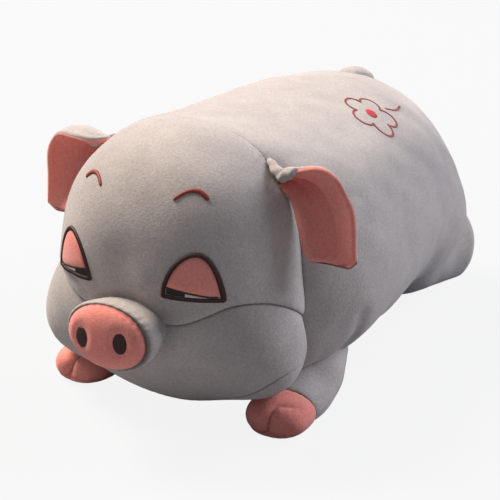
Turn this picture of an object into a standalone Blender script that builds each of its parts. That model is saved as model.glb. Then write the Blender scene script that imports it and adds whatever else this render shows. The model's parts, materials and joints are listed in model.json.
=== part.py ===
"""A stuffed pig that lies on its belly, built from its sewn panels, its filling and its sewn-on pieces.

Metres, +Z up. The nose points along -Y, the pig's left side is at +X, and the floor is z = 0.
The origin is the point of the flat belly that the toy rests on.
"""

import math

import bmesh
import bpy
from mathutils import Matrix, Vector
from mathutils.bvhtree import BVHTree

# Cloth and clearances
CLOTH = 0.0018
SEAM_GAP = 0.0003
FILLING_GAP = 0.0004
PATCH = 0.0009
PATCH_GAP = 0.0006
FLAT_CUT = 0.0005
SOFT_FLOOR = 0.006
HINGE_GAP = 0.0010
OVERRUN = 0.030
WELD = 0.000001
ON_PLANE = 0.00005
CAGE_ROUNDS = 4
HOOF_SLACK = 0.0016
JOWL_SLACK = 0.0026
BODY_SLACK = 0.0030

# Head, measured from the neck seam
NECK_AHEAD = 0.115
HEAD_MIDDLE = 0.1305
HEAD_HALF_WIDTH = 0.1054
HEAD_DEPTH = 0.1044
HEAD_RISE = 0.1127
HEAD_DROP = 0.1275
HEAD_SQUARENESS = 2.23
JOWL_BULGE = 0.0320
JOWL_SPREAD_DEG = 20.7
JOWL_DIRECTION_SHARES = (0.790, -0.310, -0.530)

# Seams of the head
CREASE_BEHIND_NOSE = 0.095
CREASE_AT_MUZZLE = 0.100
CREASE_AT_CHEEK = 0.1215
CREASE_CHEEK_AHEAD = 0.068
CREASE_MUZZLE_AHEAD = 0.100
CREASE_AT_NECK = 0.086
CHIN_SEAM_MIDDLE = 0.018
CHIN_SEAM_SIDE = 0.060

# Body, from the neck seam to the rump
BODY_FRONT_HALF_WIDTH = 0.1530
BODY_REAR_HALF_WIDTH = 0.1200
BODY_FRONT_TOP = 0.2385
BODY_REAR_TOP = 0.2235
BODY_WIDEST = 0.1065
BODY_REAR = 0.258
RUMP_ROUND = 0.200
RUMP_SQUARENESS = 2.75
BELLY_SINK = 0.006
SHOULDER_SWELL = 0.100
HAUNCH_BULGE = 0.016
HAUNCH_BACK = 0.196
HAUNCH_HEIGHT = 0.075
HAUNCH_SPREAD = 0.055
HAUNCH_DIRECTION_SHARES = (0.86, 0.51)
BELLY_SEAM = 0.030

# Snout
MUZZLE_MIDDLE = 0.0985
MUZZLE_BASE_HALF_WIDTH = 0.0440
MUZZLE_BASE_HALF_HEIGHT = 0.0330
MUZZLE_TIP_HALF_WIDTH = 0.0375
MUZZLE_TIP_HALF_HEIGHT = 0.0280
MUZZLE_TIP = 0.125
MUZZLE_ROOT = 0.090
PAD_EDGE = 0.0040
PAD_DOME = 0.0120
NOSTRIL_APART = 0.0350
NOSTRIL_LIFT = 0.0020
NOSTRIL_HALF_WIDTH = 0.0058
NOSTRIL_HALF_HEIGHT = 0.0085

# Face, as places in a front view
EYE_INNER = (0.0350, 0.1290)
EYE_OUTER = (0.0770, 0.1265)
EYE_RISE = 0.0380
EYE_LINE = 0.0036
EYE_SLIT = 0.0058
EYE_SLIT_SPAN = 1.55
EYE_WHITE_SHARE = 0.82
LID_GAP = 0.0006
PUPIL_SHARE = 0.38
BROW_MIDDLE = (0.0455, 0.2090)
BROW_HALF_SPAN = 0.0115
BROW_ARCH = 0.0060
BROW_LINE = 0.0028

# Ears
EAR_ROOT = (0.0860, 0.117, 0.2090)
EAR_REACHES = {1: 0.0605, -1: 0.0555}
EAR_DROPS = {1: 0, -1: 0.003}
EAR_FALL = 0.0670
EAR_CUP = 0.0200
EAR_CLOTH = 0.0024
EAR_PLY_GAP = 0.0012
EAR_TRIM = 0.0022

# Front legs: the hinge, and the seam where the hoof begins
FRONT_HIP = (0.084, -0.040)
FRONT_ROOT = 0.0260
FRONT_WRISTS = {1: (0.0985, -0.132), -1: (0.0930, -0.129)}
FRONT_WRIST_HALF_WIDTH = 0.0280
FRONT_WRIST_HEIGHT = 0.0310
FRONT_HOOF = 0.0370

# Hind legs
HIND_HIP = (0.066, 0.164)
HIND_ROOT = 0.0460
HIND_WRIST = (0.091, 0.234)
HIND_WRIST_HALF_WIDTH = 0.0300
HIND_WRIST_HEIGHT = 0.0640
HIND_TIP = 0.0190
LIMB_SINK = 0.005
ROOT_SHARE = 0.93
HIND_SPLAY_DEG = 15
HIND_SPLAY_STEPS = 1

HOOF_CREASE = 0.0060

# Tail
TAIL_BACK = 0.192
TAIL_HALF_WIDTH = 0.0170
TAIL_HALF_LENGTH = 0.0260
TAIL_RISE = 0.0125
TAIL_LEAN_DEG = 20

# Embroidery on the left hip, in a flat frame on the hip: along runs forwards, up runs to the back's middle
MOTIF_AT = (0.076, 0.080)
FLOWER_AT = (0.007, 0.002)
FLOWER_RADIUS = 0.023
FLOWER_LOBES = 5
FLOWER_LOBE_SHARE = 0.22
STEM_LENGTH = 0.034
STEM_BEND = 0.010
HIP_LINE = 0.0026
BERRY_RADIUS = 0.0062

# Counts of the cages
HEAD_AROUND = 14
HEAD_RINGS = 5
BODY_AROUND = 14
BALL_AROUND = 12
BALL_RINGS = 6
SOCKET_AROUND = 24
LEG_AROUND = 8
SNOUT_AROUND = 20

GREY = (0.40, 0.38, 0.40)
PINK = (0.80, 0.36, 0.33)
DARK_THREAD = (0.06, 0.02, 0.015)
BROW_THREAD = (0.45, 0.10, 0.08)
WHITE_THREAD = (0.85, 0.84, 0.82)
BLACK_THREAD = (0.012, 0.010, 0.010)
RED_THREAD = (0.75, 0.03, 0.03)
FIBRE = (0.86, 0.86, 0.84)


def clear_scene():
    for obj in list(bpy.data.objects):
        bpy.data.objects.remove(obj)


def new_collection(name):
    collection = bpy.data.collections.new(name)
    bpy.context.scene.collection.children.link(collection)
    return collection


def cloth_material(name, colour, roughness):
    material = bpy.data.materials.new(name)
    material.use_nodes = True
    shader = material.node_tree.nodes["Principled BSDF"]
    shader.inputs["Base Color"].default_value = (*colour, 1)
    shader.inputs["Roughness"].default_value = roughness
    shader.inputs["Metallic"].default_value = 0
    return material


def mix(first, second, share):
    return first + (second - first) * share


def clamp(value):
    return max(0.0, min(1.0, value))


def settle(z):
    """Height of a soft underside. The floor pushes what would hang below it level, under a flat cut."""
    if z >= SOFT_FLOOR:
        return z
    if z <= -SOFT_FLOOR:
        return -FLAT_CUT
    share = (z + SOFT_FLOOR) / (2 * SOFT_FLOOR)
    return SOFT_FLOOR * share * share - FLAT_CUT * (1 - share)


def head_radius(direction):
    """How far the head reaches from its middle: an egg with squared shoulders and two jowls."""
    drop = HEAD_RISE if direction.z > 0 else HEAD_DROP
    total = (
        abs(direction.x / HEAD_HALF_WIDTH) ** HEAD_SQUARENESS
        + abs(direction.y / HEAD_DEPTH) ** HEAD_SQUARENESS
        + abs(direction.z / drop) ** HEAD_SQUARENESS
    )
    jowl = Vector(JOWL_DIRECTION_SHARES).normalized()
    facing = Vector((abs(direction.x), direction.y, direction.z))
    away = math.degrees(facing.angle(jowl)) / JOWL_SPREAD_DEG
    return total ** (-1 / HEAD_SQUARENESS) + JOWL_BULGE * math.exp(-away * away)


def head_point(around, off_face):
    """A point of the head's cage, by its angle around the nose's axis and its angle away from the nose."""
    direction = Vector((
        math.sin(off_face) * math.cos(around),
        -math.cos(off_face),
        math.sin(off_face) * math.sin(around),
    ))
    point = direction * head_radius(direction)
    return Vector((point.x, point.y - NECK_AHEAD, point.z + HEAD_MIDDLE))


def body_point(around, y):
    """A point of the body's cage at y: the neck's outline swells to a loaf that closes at the rump."""
    along = (y + NECK_AHEAD) / (BODY_REAR + NECK_AHEAD)
    into_rump = clamp((y - BODY_REAR + RUMP_ROUND) / RUMP_ROUND)
    close = (1 - into_rump**RUMP_SQUARENESS) ** (1 / RUMP_SQUARENESS)
    half_width = mix(BODY_FRONT_HALF_WIDTH, BODY_REAR_HALF_WIDTH, along) * close
    rise = (mix(BODY_FRONT_TOP, BODY_REAR_TOP, along) - BODY_WIDEST) * close
    drop = (BODY_WIDEST + BELLY_SINK) * close
    z = BODY_WIDEST + (rise if math.sin(around) > 0 else drop) * math.sin(around)
    swell = math.sin(clamp((y + NECK_AHEAD) / SHOULDER_SWELL) * math.pi / 2) ** 0.75
    neck = head_point(around, math.pi / 2)
    from_haunch = math.hypot(y - HAUNCH_BACK, z - HAUNCH_HEIGHT) / HAUNCH_SPREAD
    bulge = HAUNCH_BULGE * math.exp(-from_haunch * from_haunch) * math.cos(around)
    aside, behind = HAUNCH_DIRECTION_SHARES
    x = mix(neck.x, half_width * math.cos(around), swell) + bulge * aside
    return Vector((x, y + abs(bulge) * behind, mix(neck.z, z, swell)))


def body_stations():
    """Stations from the neck to just before the rump's pole, closer together where the form turns."""
    front = [-NECK_AHEAD + SHOULDER_SWELL * share for share in (0.0, 0.25, 0.65, 1.2)]
    rump_start = BODY_REAR - RUMP_ROUND
    return front + [rump_start + RUMP_ROUND * share for share in (0.12, 0.52, 0.80, 0.95)]


def outwards(mesh):
    """Faces of a closed mesh turned to point out."""
    bmesh.ops.recalc_face_normals(mesh, faces=mesh.faces)
    if mesh.calc_volume(signed=True) < 0:
        bmesh.ops.reverse_faces(mesh, faces=mesh.faces)
    return mesh


def loft(rings, start=None, end=None):
    """A mesh through rings of points. Each end is open (None), "flat", or closed on a point."""
    mesh = bmesh.new()
    rows = [[mesh.verts.new(point) for point in row] for row in rings]
    count = len(rows[0])
    for near, far in zip(rows, rows[1:]):
        for i in range(count):
            j = (i + 1) % count
            mesh.faces.new((near[i], far[i], far[j], near[j]))
    for row, cap, turned in ((rows[0], start, False), (rows[-1], end, True)):
        if cap is None:
            continue
        if cap == "flat":
            mesh.faces.new(row[::-1] if turned else row)
            continue
        pole = mesh.verts.new(cap)
        for i in range(count):
            j = (i + 1) % count
            corner = (pole, row[j], row[i]) if turned else (pole, row[i], row[j])
            mesh.faces.new(corner)
    return outwards(mesh) if start is not None and end is not None else mesh


def add_object(name, mesh, collection, material=None, pivot=None):
    """Turns a bmesh into an object, with its origin at the pivot and its shape where it was."""
    data = bpy.data.meshes.new(name)
    if pivot is not None:
        bmesh.ops.translate(mesh, verts=mesh.verts, vec=-pivot)
    mesh.to_mesh(data)
    mesh.free()
    data.shade_smooth()
    obj = bpy.data.objects.new(name, data)
    if pivot is not None:
        obj.location = pivot
    if material is not None:
        data.materials.append(material)
    collection.objects.link(obj)
    return obj


def add_cutter(name, mesh, collection):
    cutter = add_object(name, mesh, collection)
    cutter.hide_render = True
    cutter.display_type = "WIRE"
    return cutter


def solidify(obj, thickness):
    modifier = obj.modifiers.new("cloth", "SOLIDIFY")
    modifier.thickness = thickness
    modifier.offset = -1
    modifier.use_even_offset = True


def boolean(obj, other, operation):
    modifier = obj.modifiers.new(operation.lower() + "_" + other.name, "BOOLEAN")
    modifier.operation = operation
    modifier.object = other
    modifier.solver = "EXACT"


def box_mesh(low, high):
    mesh = bmesh.new()
    bmesh.ops.create_cube(mesh, size=1)
    low, high = Vector(low), Vector(high)
    for vert in mesh.verts:
        vert.co = Vector(mix(low[k], high[k], vert.co[k] + 0.5) for k in range(3))
    return mesh


def ball_mesh(centre, radius, around=BALL_AROUND):
    mesh = bmesh.new()
    bmesh.ops.create_uvsphere(mesh, u_segments=around, v_segments=BALL_RINGS, radius=radius)
    bmesh.ops.translate(mesh, verts=mesh.verts, vec=centre)
    return mesh


def ring(count, point_at):
    return [point_at(2 * math.pi * k / count) for k in range(count)]


def head_rings():
    """Rings from near the nose to the neck seam, and the nose's pole."""
    angles = [math.pi / 2 * (k + 1) / HEAD_RINGS for k in range(HEAD_RINGS)]
    rings = [ring(HEAD_AROUND, lambda around: head_point(around, angle)) for angle in angles]
    return rings, head_point(0, 0)


def body_rings():
    """Rings from the neck seam to near the rump's pole, and that pole."""
    rings = [ring(BODY_AROUND, lambda around: body_point(around, y)) for y in body_stations()]
    return rings, Vector((0, BODY_REAR, BODY_WIDEST))


def subdivided(mesh):
    """A cage's points after one Subdivision Surface step. Its own points come first."""
    data = bpy.data.meshes.new("cage")
    mesh.to_mesh(data)
    cage = bpy.data.objects.new("cage", data)
    bpy.context.scene.collection.objects.link(cage)
    modifier = cage.modifiers.new("smooth", "SUBSURF")
    modifier.levels = 1
    modifier.render_levels = 1
    finished = bpy.data.meshes.new_from_object(cage.evaluated_get(bpy.context.evaluated_depsgraph_get()))
    bpy.data.objects.remove(cage)
    bpy.data.meshes.remove(data)
    return finished


def smoothed(mesh):
    """A rounded surface, in triangles, that passes through the points of a coarse mesh.

    Rounding draws a cage inwards, so the cage is first moved out by as much as it would be drawn in.
    """
    wanted = [vert.co.copy() for vert in mesh.verts]
    for _ in range(CAGE_ROUNDS):
        finished = subdivided(mesh)
        for vert, target, rounded in zip(mesh.verts, wanted, finished.vertices):
            vert.co += target - rounded.co
        bpy.data.meshes.remove(finished)
    finished = subdivided(mesh)
    mesh.free()
    result = bmesh.new()
    result.from_mesh(finished)
    bpy.data.meshes.remove(finished)
    bmesh.ops.triangulate(result, faces=result.faces, quad_method="FIXED")
    return result


def offset(mesh, distance):
    """Every point moved along its normal: outwards, or inwards if the distance is negative."""
    mesh.normal_update()
    moved = [vert.co + vert.normal * distance for vert in mesh.verts]
    for vert, co in zip(mesh.verts, moved):
        vert.co = co
    return mesh


def settled(mesh):
    for vert in mesh.verts:
        vert.co.z = settle(vert.co.z)
    return mesh


def cut_flat(mesh, point, normal, close=True):
    """A form cut by a plane. The side that the normal points away from stays, closed again if asked."""
    geometry = [*mesh.verts, *mesh.edges, *mesh.faces]
    cut = bmesh.ops.bisect_plane(
        mesh, geom=geometry, dist=ON_PLANE, plane_co=point, plane_no=normal, clear_outer=True
    )
    if not close:
        return mesh
    edges = [item for item in cut["geom_cut"] if isinstance(item, bmesh.types.BMEdge)]
    bmesh.ops.edgeloop_fill(mesh, edges=edges)
    return outwards(mesh)


def beyond(first, second):
    """The ring that carries a form straight on past its first ring."""
    return [a + a - b for a, b in zip(first, second)]


def head_form(change, y, fine=True, close=True):
    """The head, grown or shrunk, and cut at y."""
    rings, pole = head_rings()
    rings.append(beyond(rings[-1], rings[-2]))
    form = loft(rings, pole, "flat")
    return cut_flat(offset(settled(smoothed(form) if fine else form), change), (0, y, 0), (0, 1, 0), close)


def body_form(change, y, fine=True, close=True):
    """The body, grown or shrunk, and cut at y."""
    rings, pole = body_rings()
    rings.insert(0, beyond(rings[0], rings[1]))
    form = loft(rings, "flat", pole)
    return cut_flat(offset(settled(smoothed(form) if fine else form), change), (0, y, 0), (0, -1, 0), close)


def crease_height(y):
    """Height of the seam over the jowl in a side view: over the cheek, then down both ways."""
    ahead = -y - NECK_AHEAD
    if ahead < CREASE_CHEEK_AHEAD:
        share = clamp(ahead / CREASE_CHEEK_AHEAD)
        return mix(CREASE_AT_NECK, CREASE_AT_CHEEK, math.sin(share * math.pi / 2))
    if ahead < CREASE_MUZZLE_AHEAD:
        share = (ahead - CREASE_CHEEK_AHEAD) / (CREASE_MUZZLE_AHEAD - CREASE_CHEEK_AHEAD)
        return mix(CREASE_AT_MUZZLE, CREASE_AT_CHEEK, math.cos(share * math.pi / 2))
    return CREASE_BEHIND_NOSE


def chin_height(x):
    return mix(CHIN_SEAM_MIDDLE, CHIN_SEAM_SIDE, (abs(x) / HEAD_HALF_WIDTH) ** 3)


def crease_prism(lift, edge):
    """The region above or below the crease seam, as a side view carried across the pig."""
    reach = NECK_AHEAD + HEAD_DEPTH + JOWL_BULGE + OVERRUN
    neck = -NECK_AHEAD - SEAM_GAP / 2
    stations = [mix(-reach, neck, k / 24) for k in range(25)]
    line = [(y, crease_height(y) + lift) for y in stations] + [(neck, edge), (-reach, edge)]
    side = HEAD_HALF_WIDTH + JOWL_BULGE + OVERRUN
    rings = [[Vector((x, y, z)) for y, z in line] for x in (-side, side)]
    return loft(rings, "flat", "flat")


def chin_slab(lift):
    """The region under the chin seam, as a front view carried along the pig."""
    side = HEAD_HALF_WIDTH + JOWL_BULGE + OVERRUN
    line = [(side * k / 12, chin_height(side * k / 12) + lift) for k in range(-12, 13)]
    line += [(side, -OVERRUN), (-side, -OVERRUN)]
    reach = NECK_AHEAD + HEAD_DEPTH + JOWL_BULGE + OVERRUN
    rings = [[Vector((x, y, z)) for x, z in line] for y in (-reach, -NECK_AHEAD - SEAM_GAP / 2)]
    return loft(rings, "flat", "flat")


class Toy:
    """What the parts share: the collections and the materials."""

    def __init__(self):
        self.parts = new_collection("plush_pig")
        self.cutters = new_collection("cutters")
        self.grey = cloth_material("grey velour", GREY, 0.9)
        self.pink = cloth_material("pink velour", PINK, 0.9)
        self.fibre = cloth_material("fibre filling", FIBRE, 1.0)
        self.dark = cloth_material("dark thread", DARK_THREAD, 0.5)
        self.brow = cloth_material("brow thread", BROW_THREAD, 0.5)
        self.white = cloth_material("white thread", WHITE_THREAD, 0.5)
        self.black = cloth_material("black thread", BLACK_THREAD, 0.5)
        self.red = cloth_material("red thread", RED_THREAD, 0.5)

    def part(self, name, mesh, material, pivot=None):
        return add_object(name, mesh, self.parts, material, pivot)

    def cutter(self, name, mesh):
        return add_cutter(name, mesh, self.cutters)


def floor_cutter(toy):
    reach = BODY_REAR + OVERRUN
    return toy.cutter("floor", box_mesh((-reach, -reach, -OVERRUN), (reach, reach, 0)))


def make_body(toy, floor, sockets):
    """The back and the belly are one loaf, parted by a level seam low on the flank."""
    reach = BODY_REAR + OVERRUN
    half = SEAM_GAP / 2
    neck = half - NECK_AHEAD
    above = box_mesh((-reach, neck, BELLY_SEAM + half), (reach, reach, BODY_FRONT_TOP + OVERRUN))
    below = box_mesh((-reach, neck, -OVERRUN), (reach, reach, BELLY_SEAM - half))
    for name, region in (("back_panel", above), ("belly_panel", below)):
        panel = toy.part(name, body_form(0, neck - 2 * CLOTH, True, False), toy.grey)
        solidify(panel, CLOTH)
        boolean(panel, toy.cutter(name + "_region", region), "INTERSECT")
        if name == "belly_panel":
            boolean(panel, floor, "DIFFERENCE")
        for socket in sockets:
            boolean(panel, socket, "DIFFERENCE")


def make_head(toy, floor):
    """Three panels: the face over the cheeks, the jowls under them, and the chin that lies on the floor."""
    top = HEAD_MIDDLE + HEAD_RISE + OVERRUN
    half = SEAM_GAP / 2
    face = toy.cutter("face_region", crease_prism(half, top))
    cheek = toy.cutter("jowl_region", crease_prism(-half, -OVERRUN))
    under = toy.cutter("chin_region", chin_slab(-half))
    under_jowl = toy.cutter("chin_region_grown", chin_slab(half))
    for name, steps in (
        ("face_panel", ((face, "INTERSECT"),)),
        ("jowl_panel", ((cheek, "INTERSECT"), (under_jowl, "DIFFERENCE"))),
        ("chin_panel", ((under, "INTERSECT"), (floor, "DIFFERENCE"))),
    ):
        panel = toy.part(name, head_form(0, 2 * CLOTH - NECK_AHEAD, True, False), toy.grey)
        solidify(panel, CLOTH)
        for region, operation in steps:
            boolean(panel, region, operation)


def make_fillings(toy, sockets):
    inset = CLOTH + FILLING_GAP
    body = toy.part("body_filling", body_form(-inset - BODY_SLACK, -NECK_AHEAD + inset, False), toy.fibre)
    for socket in sockets:
        boolean(body, socket, "DIFFERENCE")
    toy.part("head_filling", head_form(-inset - JOWL_SLACK, -NECK_AHEAD - FILLING_GAP, False), toy.fibre)


def snout_ring(y, half_width, half_height):
    return ring(SNOUT_AROUND, lambda a: Vector((
        half_width * math.cos(a), y, MUZZLE_MIDDLE + half_height * math.sin(a)
    )))


def muzzle_rings(inside):
    """The muzzle's outline from its tip back to its root inside the face."""
    rings = []
    for share in (1.0, 0.75, 0.4, 0.0):
        rings.append(snout_ring(
            -NECK_AHEAD - mix(MUZZLE_ROOT, MUZZLE_TIP, share),
            mix(MUZZLE_BASE_HALF_WIDTH, MUZZLE_TIP_HALF_WIDTH, share**2) - inside,
            mix(MUZZLE_BASE_HALF_HEIGHT, MUZZLE_TIP_HALF_HEIGHT, share**2) - inside,
        ))
    return rings


def pad_rings(inside):
    """The domed pad from near its pole back to its rim, and the pole."""
    y_rim = -NECK_AHEAD - MUZZLE_TIP - SEAM_GAP
    half_width = MUZZLE_TIP_HALF_WIDTH - inside
    half_height = MUZZLE_TIP_HALF_HEIGHT - inside
    rings = []
    for turn in (75, 52, 30, 10):
        angle = math.radians(turn)
        y = y_rim - PAD_EDGE - (PAD_DOME - inside) * math.sin(angle)
        rings.append(snout_ring(y, half_width * math.cos(angle), half_height * math.cos(angle)))
    rings.append(snout_ring(y_rim, half_width, half_height))
    return rings, Vector((0, y_rim - PAD_EDGE - PAD_DOME + inside, MUZZLE_MIDDLE))


def make_snout(toy, head):
    """A grey band around a plug of filling, closed by a domed pink pad."""
    band = toy.part("muzzle_band", loft(muzzle_rings(0)), toy.grey)
    solidify(band, CLOTH)
    rings, pole = pad_rings(0)
    pad = toy.part("snout_pad", loft(rings, pole, None), toy.pink)
    solidify(pad, CLOTH)
    inset = CLOTH + FILLING_GAP
    rings, pole = pad_rings(inset + FILLING_GAP)
    plug = toy.part("snout_filling", loft(rings[:-1] + muzzle_rings(inset), pole, "flat"), toy.fibre)
    boolean(band, head, "DIFFERENCE")
    boolean(plug, head, "DIFFERENCE")
    return pad


def surface_of(obj):
    """A search tree over the finished outside of an object."""
    bpy.context.view_layer.update()
    graph = bpy.context.evaluated_depsgraph_get()
    finished = bpy.data.meshes.new_from_object(obj.evaluated_get(graph))
    shape = bmesh.new()
    shape.from_mesh(finished)
    bmesh.ops.transform(shape, matrix=obj.matrix_world, verts=shape.verts)
    tree = BVHTree.FromBMesh(shape)
    shape.free()
    bpy.data.meshes.remove(finished)
    return tree


class Cloth:
    """A flat drawing carried onto a surface along one direction."""

    def __init__(self, tree, origin, along, up):
        self.tree = tree
        self.origin = origin
        self.along = along.normalized()
        self.up = up.normalized()
        self.toward = self.along.cross(self.up).normalized()

    def cast(self, flat):
        """The two faces of a stitched layer over one flat point: its underside and its top."""
        start = self.origin + self.along * flat[0] + self.up * flat[1]
        spot, normal, _, _ = self.tree.ray_cast(start, self.toward)
        if normal.dot(self.toward) > 0:
            normal = -normal
        return spot + normal * PATCH_GAP, spot + normal * (PATCH_GAP + PATCH)

    def across(self, row):
        """One closed ring around a strip: over its top, then back along its underside."""
        pairs = [self.cast(flat) for flat in row]
        return [top for _, top in pairs] + [under for under, _ in pairs[::-1]]

    def strip(self, rows):
        return loft([self.across(row) for row in rows], "flat", "flat")

    def loop(self, rows):
        rings = [self.across(row) for row in rows]
        mesh = loft([*rings, rings[0]])
        bmesh.ops.remove_doubles(mesh, verts=mesh.verts, dist=WELD)
        return outwards(mesh)

    def disc(self, outline, centre):
        """A filled patch: its top from the middle outwards, then its underside back to the middle."""
        rows = [
            [self.cast((mix(centre[0], a, share), mix(centre[1], b, share))) for a, b in outline]
            for share in (1.0, 0.68, 0.34)
        ]
        tops = [[top for _, top in row] for row in rows]
        unders = [[under for under, _ in row] for row in rows]
        under, top = self.cast(centre)
        return loft(tops[::-1] + unders, top, under)


def line_rows(path, width, closed=False):
    """Rows of points across a stitched line that follows a path."""
    rows = []
    count = len(path)
    for k, (a, b) in enumerate(path):
        before = path[(k - 1) % count] if closed or k else path[0]
        after = path[(k + 1) % count] if closed or k < count - 1 else path[-1]
        run = Vector((after[0] - before[0], after[1] - before[1])).normalized()
        aside = Vector((-run.y, run.x)) * width / 2
        rows.append([(a + aside.x, b + aside.y), (a, b), (a - aside.x, b - aside.y)])
    return rows


def face_cloth(tree, start):
    """The face or the pad seen from the front."""
    origin = Vector((0, -NECK_AHEAD - HEAD_DEPTH - start, 0))
    return Cloth(tree, origin, Vector((-1, 0, 0)), Vector((0, 0, 1)))


def mirrored(points, side):
    """Front-view points, with x outwards, on one side of the face. The frame's along axis points to -X."""
    return [(-side * x, z) for x, z in points]


class Eye:
    """The shapes of a nearly shut, smiling eye, in a front view with x outwards."""

    def __init__(self):
        self.inner = Vector(EYE_INNER)
        self.outer = Vector(EYE_OUTER)
        self.half = (self.outer - self.inner).length / 2
        self.low = EYE_LINE + LID_GAP

    def at(self, across, rise):
        """A point by its share across the eye, -1 at the inner corner, and its height over the corners."""
        run = (self.outer - self.inner) / 2
        up = Vector((-run.y, run.x)).normalized()
        spot = (self.inner + self.outer) / 2 + run * across + up * rise
        return (spot.x, spot.y)

    def lid_edge(self, across):
        """Height of the lid's lower edge: the slit under it narrows towards the outer corner."""
        open_share = clamp(1 - (across + 1) / EYE_SLIT_SPAN)
        return self.low + EYE_SLIT * open_share

    def crown(self, inset, turn):
        """A point on the round-topped outline drawn in by an inset, as its share across and its height."""
        across = (1 - inset / self.half) * math.cos(turn)
        return across, inset + (EYE_RISE - 2 * inset) * math.sin(turn) ** 0.85

    def meets(self, inset):
        """The turn where the drawn-in outline rises past the lid's lower edge, at each end."""
        turns = [math.pi * k / 400 for k in range(401)]
        over = []
        for turn in turns:
            across, rise = self.crown(inset, turn)
            if rise > self.lid_edge(across):
                over.append(turn)
        return over[0], over[-1]

    def outline(self, inset, start, stop, edge, count=12):
        """The crown between two turns, closed by an edge given as a height for each place across."""
        crown = [self.crown(inset, mix(start, stop, k / count)) for k in range(count + 1)]
        points = [self.at(across, rise) for across, rise in crown]
        for k in range(1, 6):
            across = mix(crown[-1][0], crown[0][0], k / 6)
            points.append(self.at(across, edge(across)))
        return points

    def slit(self, start, stop):
        """Rows down the slit between two shares across the eye."""
        rows = []
        for k in range(6):
            across = mix(start, stop, k / 5)
            top = self.lid_edge(across) - LID_GAP
            rows.append([self.at(across, mix(top, self.low, share)) for share in (0.0, 0.5, 1.0)])
        return rows


def make_eye(toy, tree, side, label):
    eye = Eye()
    cloth = face_cloth(tree, OVERRUN)
    path = eye.outline(EYE_LINE / 2, 0, math.pi, lambda across: EYE_LINE / 2)
    rows = line_rows(mirrored(path, side), EYE_LINE, True)
    toy.part(f"eye_line_{label}", cloth.loop(rows), toy.dark)
    inset = EYE_LINE + LID_GAP
    start, stop = eye.meets(inset)
    lid = mirrored(eye.outline(inset, start, stop, eye.lid_edge), side)
    middle = mirrored([eye.at(0, EYE_RISE * 0.55)], side)[0]
    toy.part(f"eyelid_{label}", cloth.disc(lid, middle), toy.pink)
    reach = -eye.crown(inset, stop)[0]
    split = mix(-reach, reach, PUPIL_SHARE)
    gap = LID_GAP / eye.half / 2
    white_end = EYE_SLIT_SPAN * EYE_WHITE_SHARE - 1
    for name, first, last, thread in (
        ("pupil", -reach, split - gap, toy.black),
        ("eye_white", split + gap, white_end, toy.white),
    ):
        rows = [mirrored(row, side) for row in eye.slit(first, last)]
        toy.part(f"{name}_{label}", cloth.strip(rows), thread)


def make_brow(toy, tree, side, label):
    path = []
    for k in range(9):
        across = mix(-1, 1, k / 8)
        path.append((BROW_MIDDLE[0] + BROW_HALF_SPAN * across, BROW_MIDDLE[1] - BROW_ARCH * across * across))
    rows = line_rows(mirrored(path, side), BROW_LINE)
    toy.part(f"brow_{label}", face_cloth(tree, OVERRUN).strip(rows), toy.brow)


def make_nostril(toy, tree, side, label):
    centre = (NOSTRIL_APART / 2, MUZZLE_MIDDLE + NOSTRIL_LIFT)
    outline = []
    for k in range(12):
        turn = 2 * math.pi * k / 12
        outline.append((
            centre[0] + NOSTRIL_HALF_WIDTH * math.cos(turn), centre[1] + NOSTRIL_HALF_HEIGHT * math.sin(turn)
        ))
    cloth = face_cloth(tree, OVERRUN + MUZZLE_TIP)
    patch = cloth.disc(mirrored(outline, side), mirrored([centre], side)[0])
    toy.part(f"nostril_{label}", patch, toy.dark)


def make_hip_embroidery(toy, tree):
    """A five-lobed flower with a bent stem in brown thread, and a red berry in the flower's middle."""
    high = Vector((MOTIF_AT[0], MOTIF_AT[1], BODY_FRONT_TOP + OVERRUN))
    spot, normal, _, _ = tree.ray_cast(high, Vector((0, 0, -1)))
    along = normal.cross(Vector((1, 0, 0))).normalized()
    if along.y > 0:
        along = -along
    cloth = Cloth(tree, spot + normal * OVERRUN, along, along.cross(normal))
    path = []
    for k in range(35):
        turn = 2 * math.pi * k / 35
        radius = FLOWER_RADIUS * (1 + FLOWER_LOBE_SHARE * math.cos(FLOWER_LOBES * turn))
        path.append((FLOWER_AT[0] + radius * math.cos(turn), FLOWER_AT[1] + radius * math.sin(turn)))
    toy.part("hip_flower", cloth.loop(line_rows(path, HIP_LINE, True)), toy.dark)
    start = FLOWER_AT[0] - FLOWER_RADIUS * (1 - FLOWER_LOBE_SHARE * math.cos(math.pi / 5)) - 2 * HIP_LINE
    stem = []
    for k in range(9):
        share = k / 8
        stem.append((start - STEM_LENGTH * share, FLOWER_AT[1] - STEM_BEND * math.sin(share * math.pi)))
    toy.part("hip_stem", cloth.strip(line_rows(stem, HIP_LINE)), toy.dark)
    berry = []
    for k in range(14):
        turn = 2 * math.pi * k / 14
        run, rise = BERRY_RADIUS * math.cos(turn), BERRY_RADIUS * math.sin(turn)
        berry.append((FLOWER_AT[0] + run, FLOWER_AT[1] + rise))
    toy.part("hip_berry", cloth.disc(berry, FLOWER_AT), toy.red)


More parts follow.
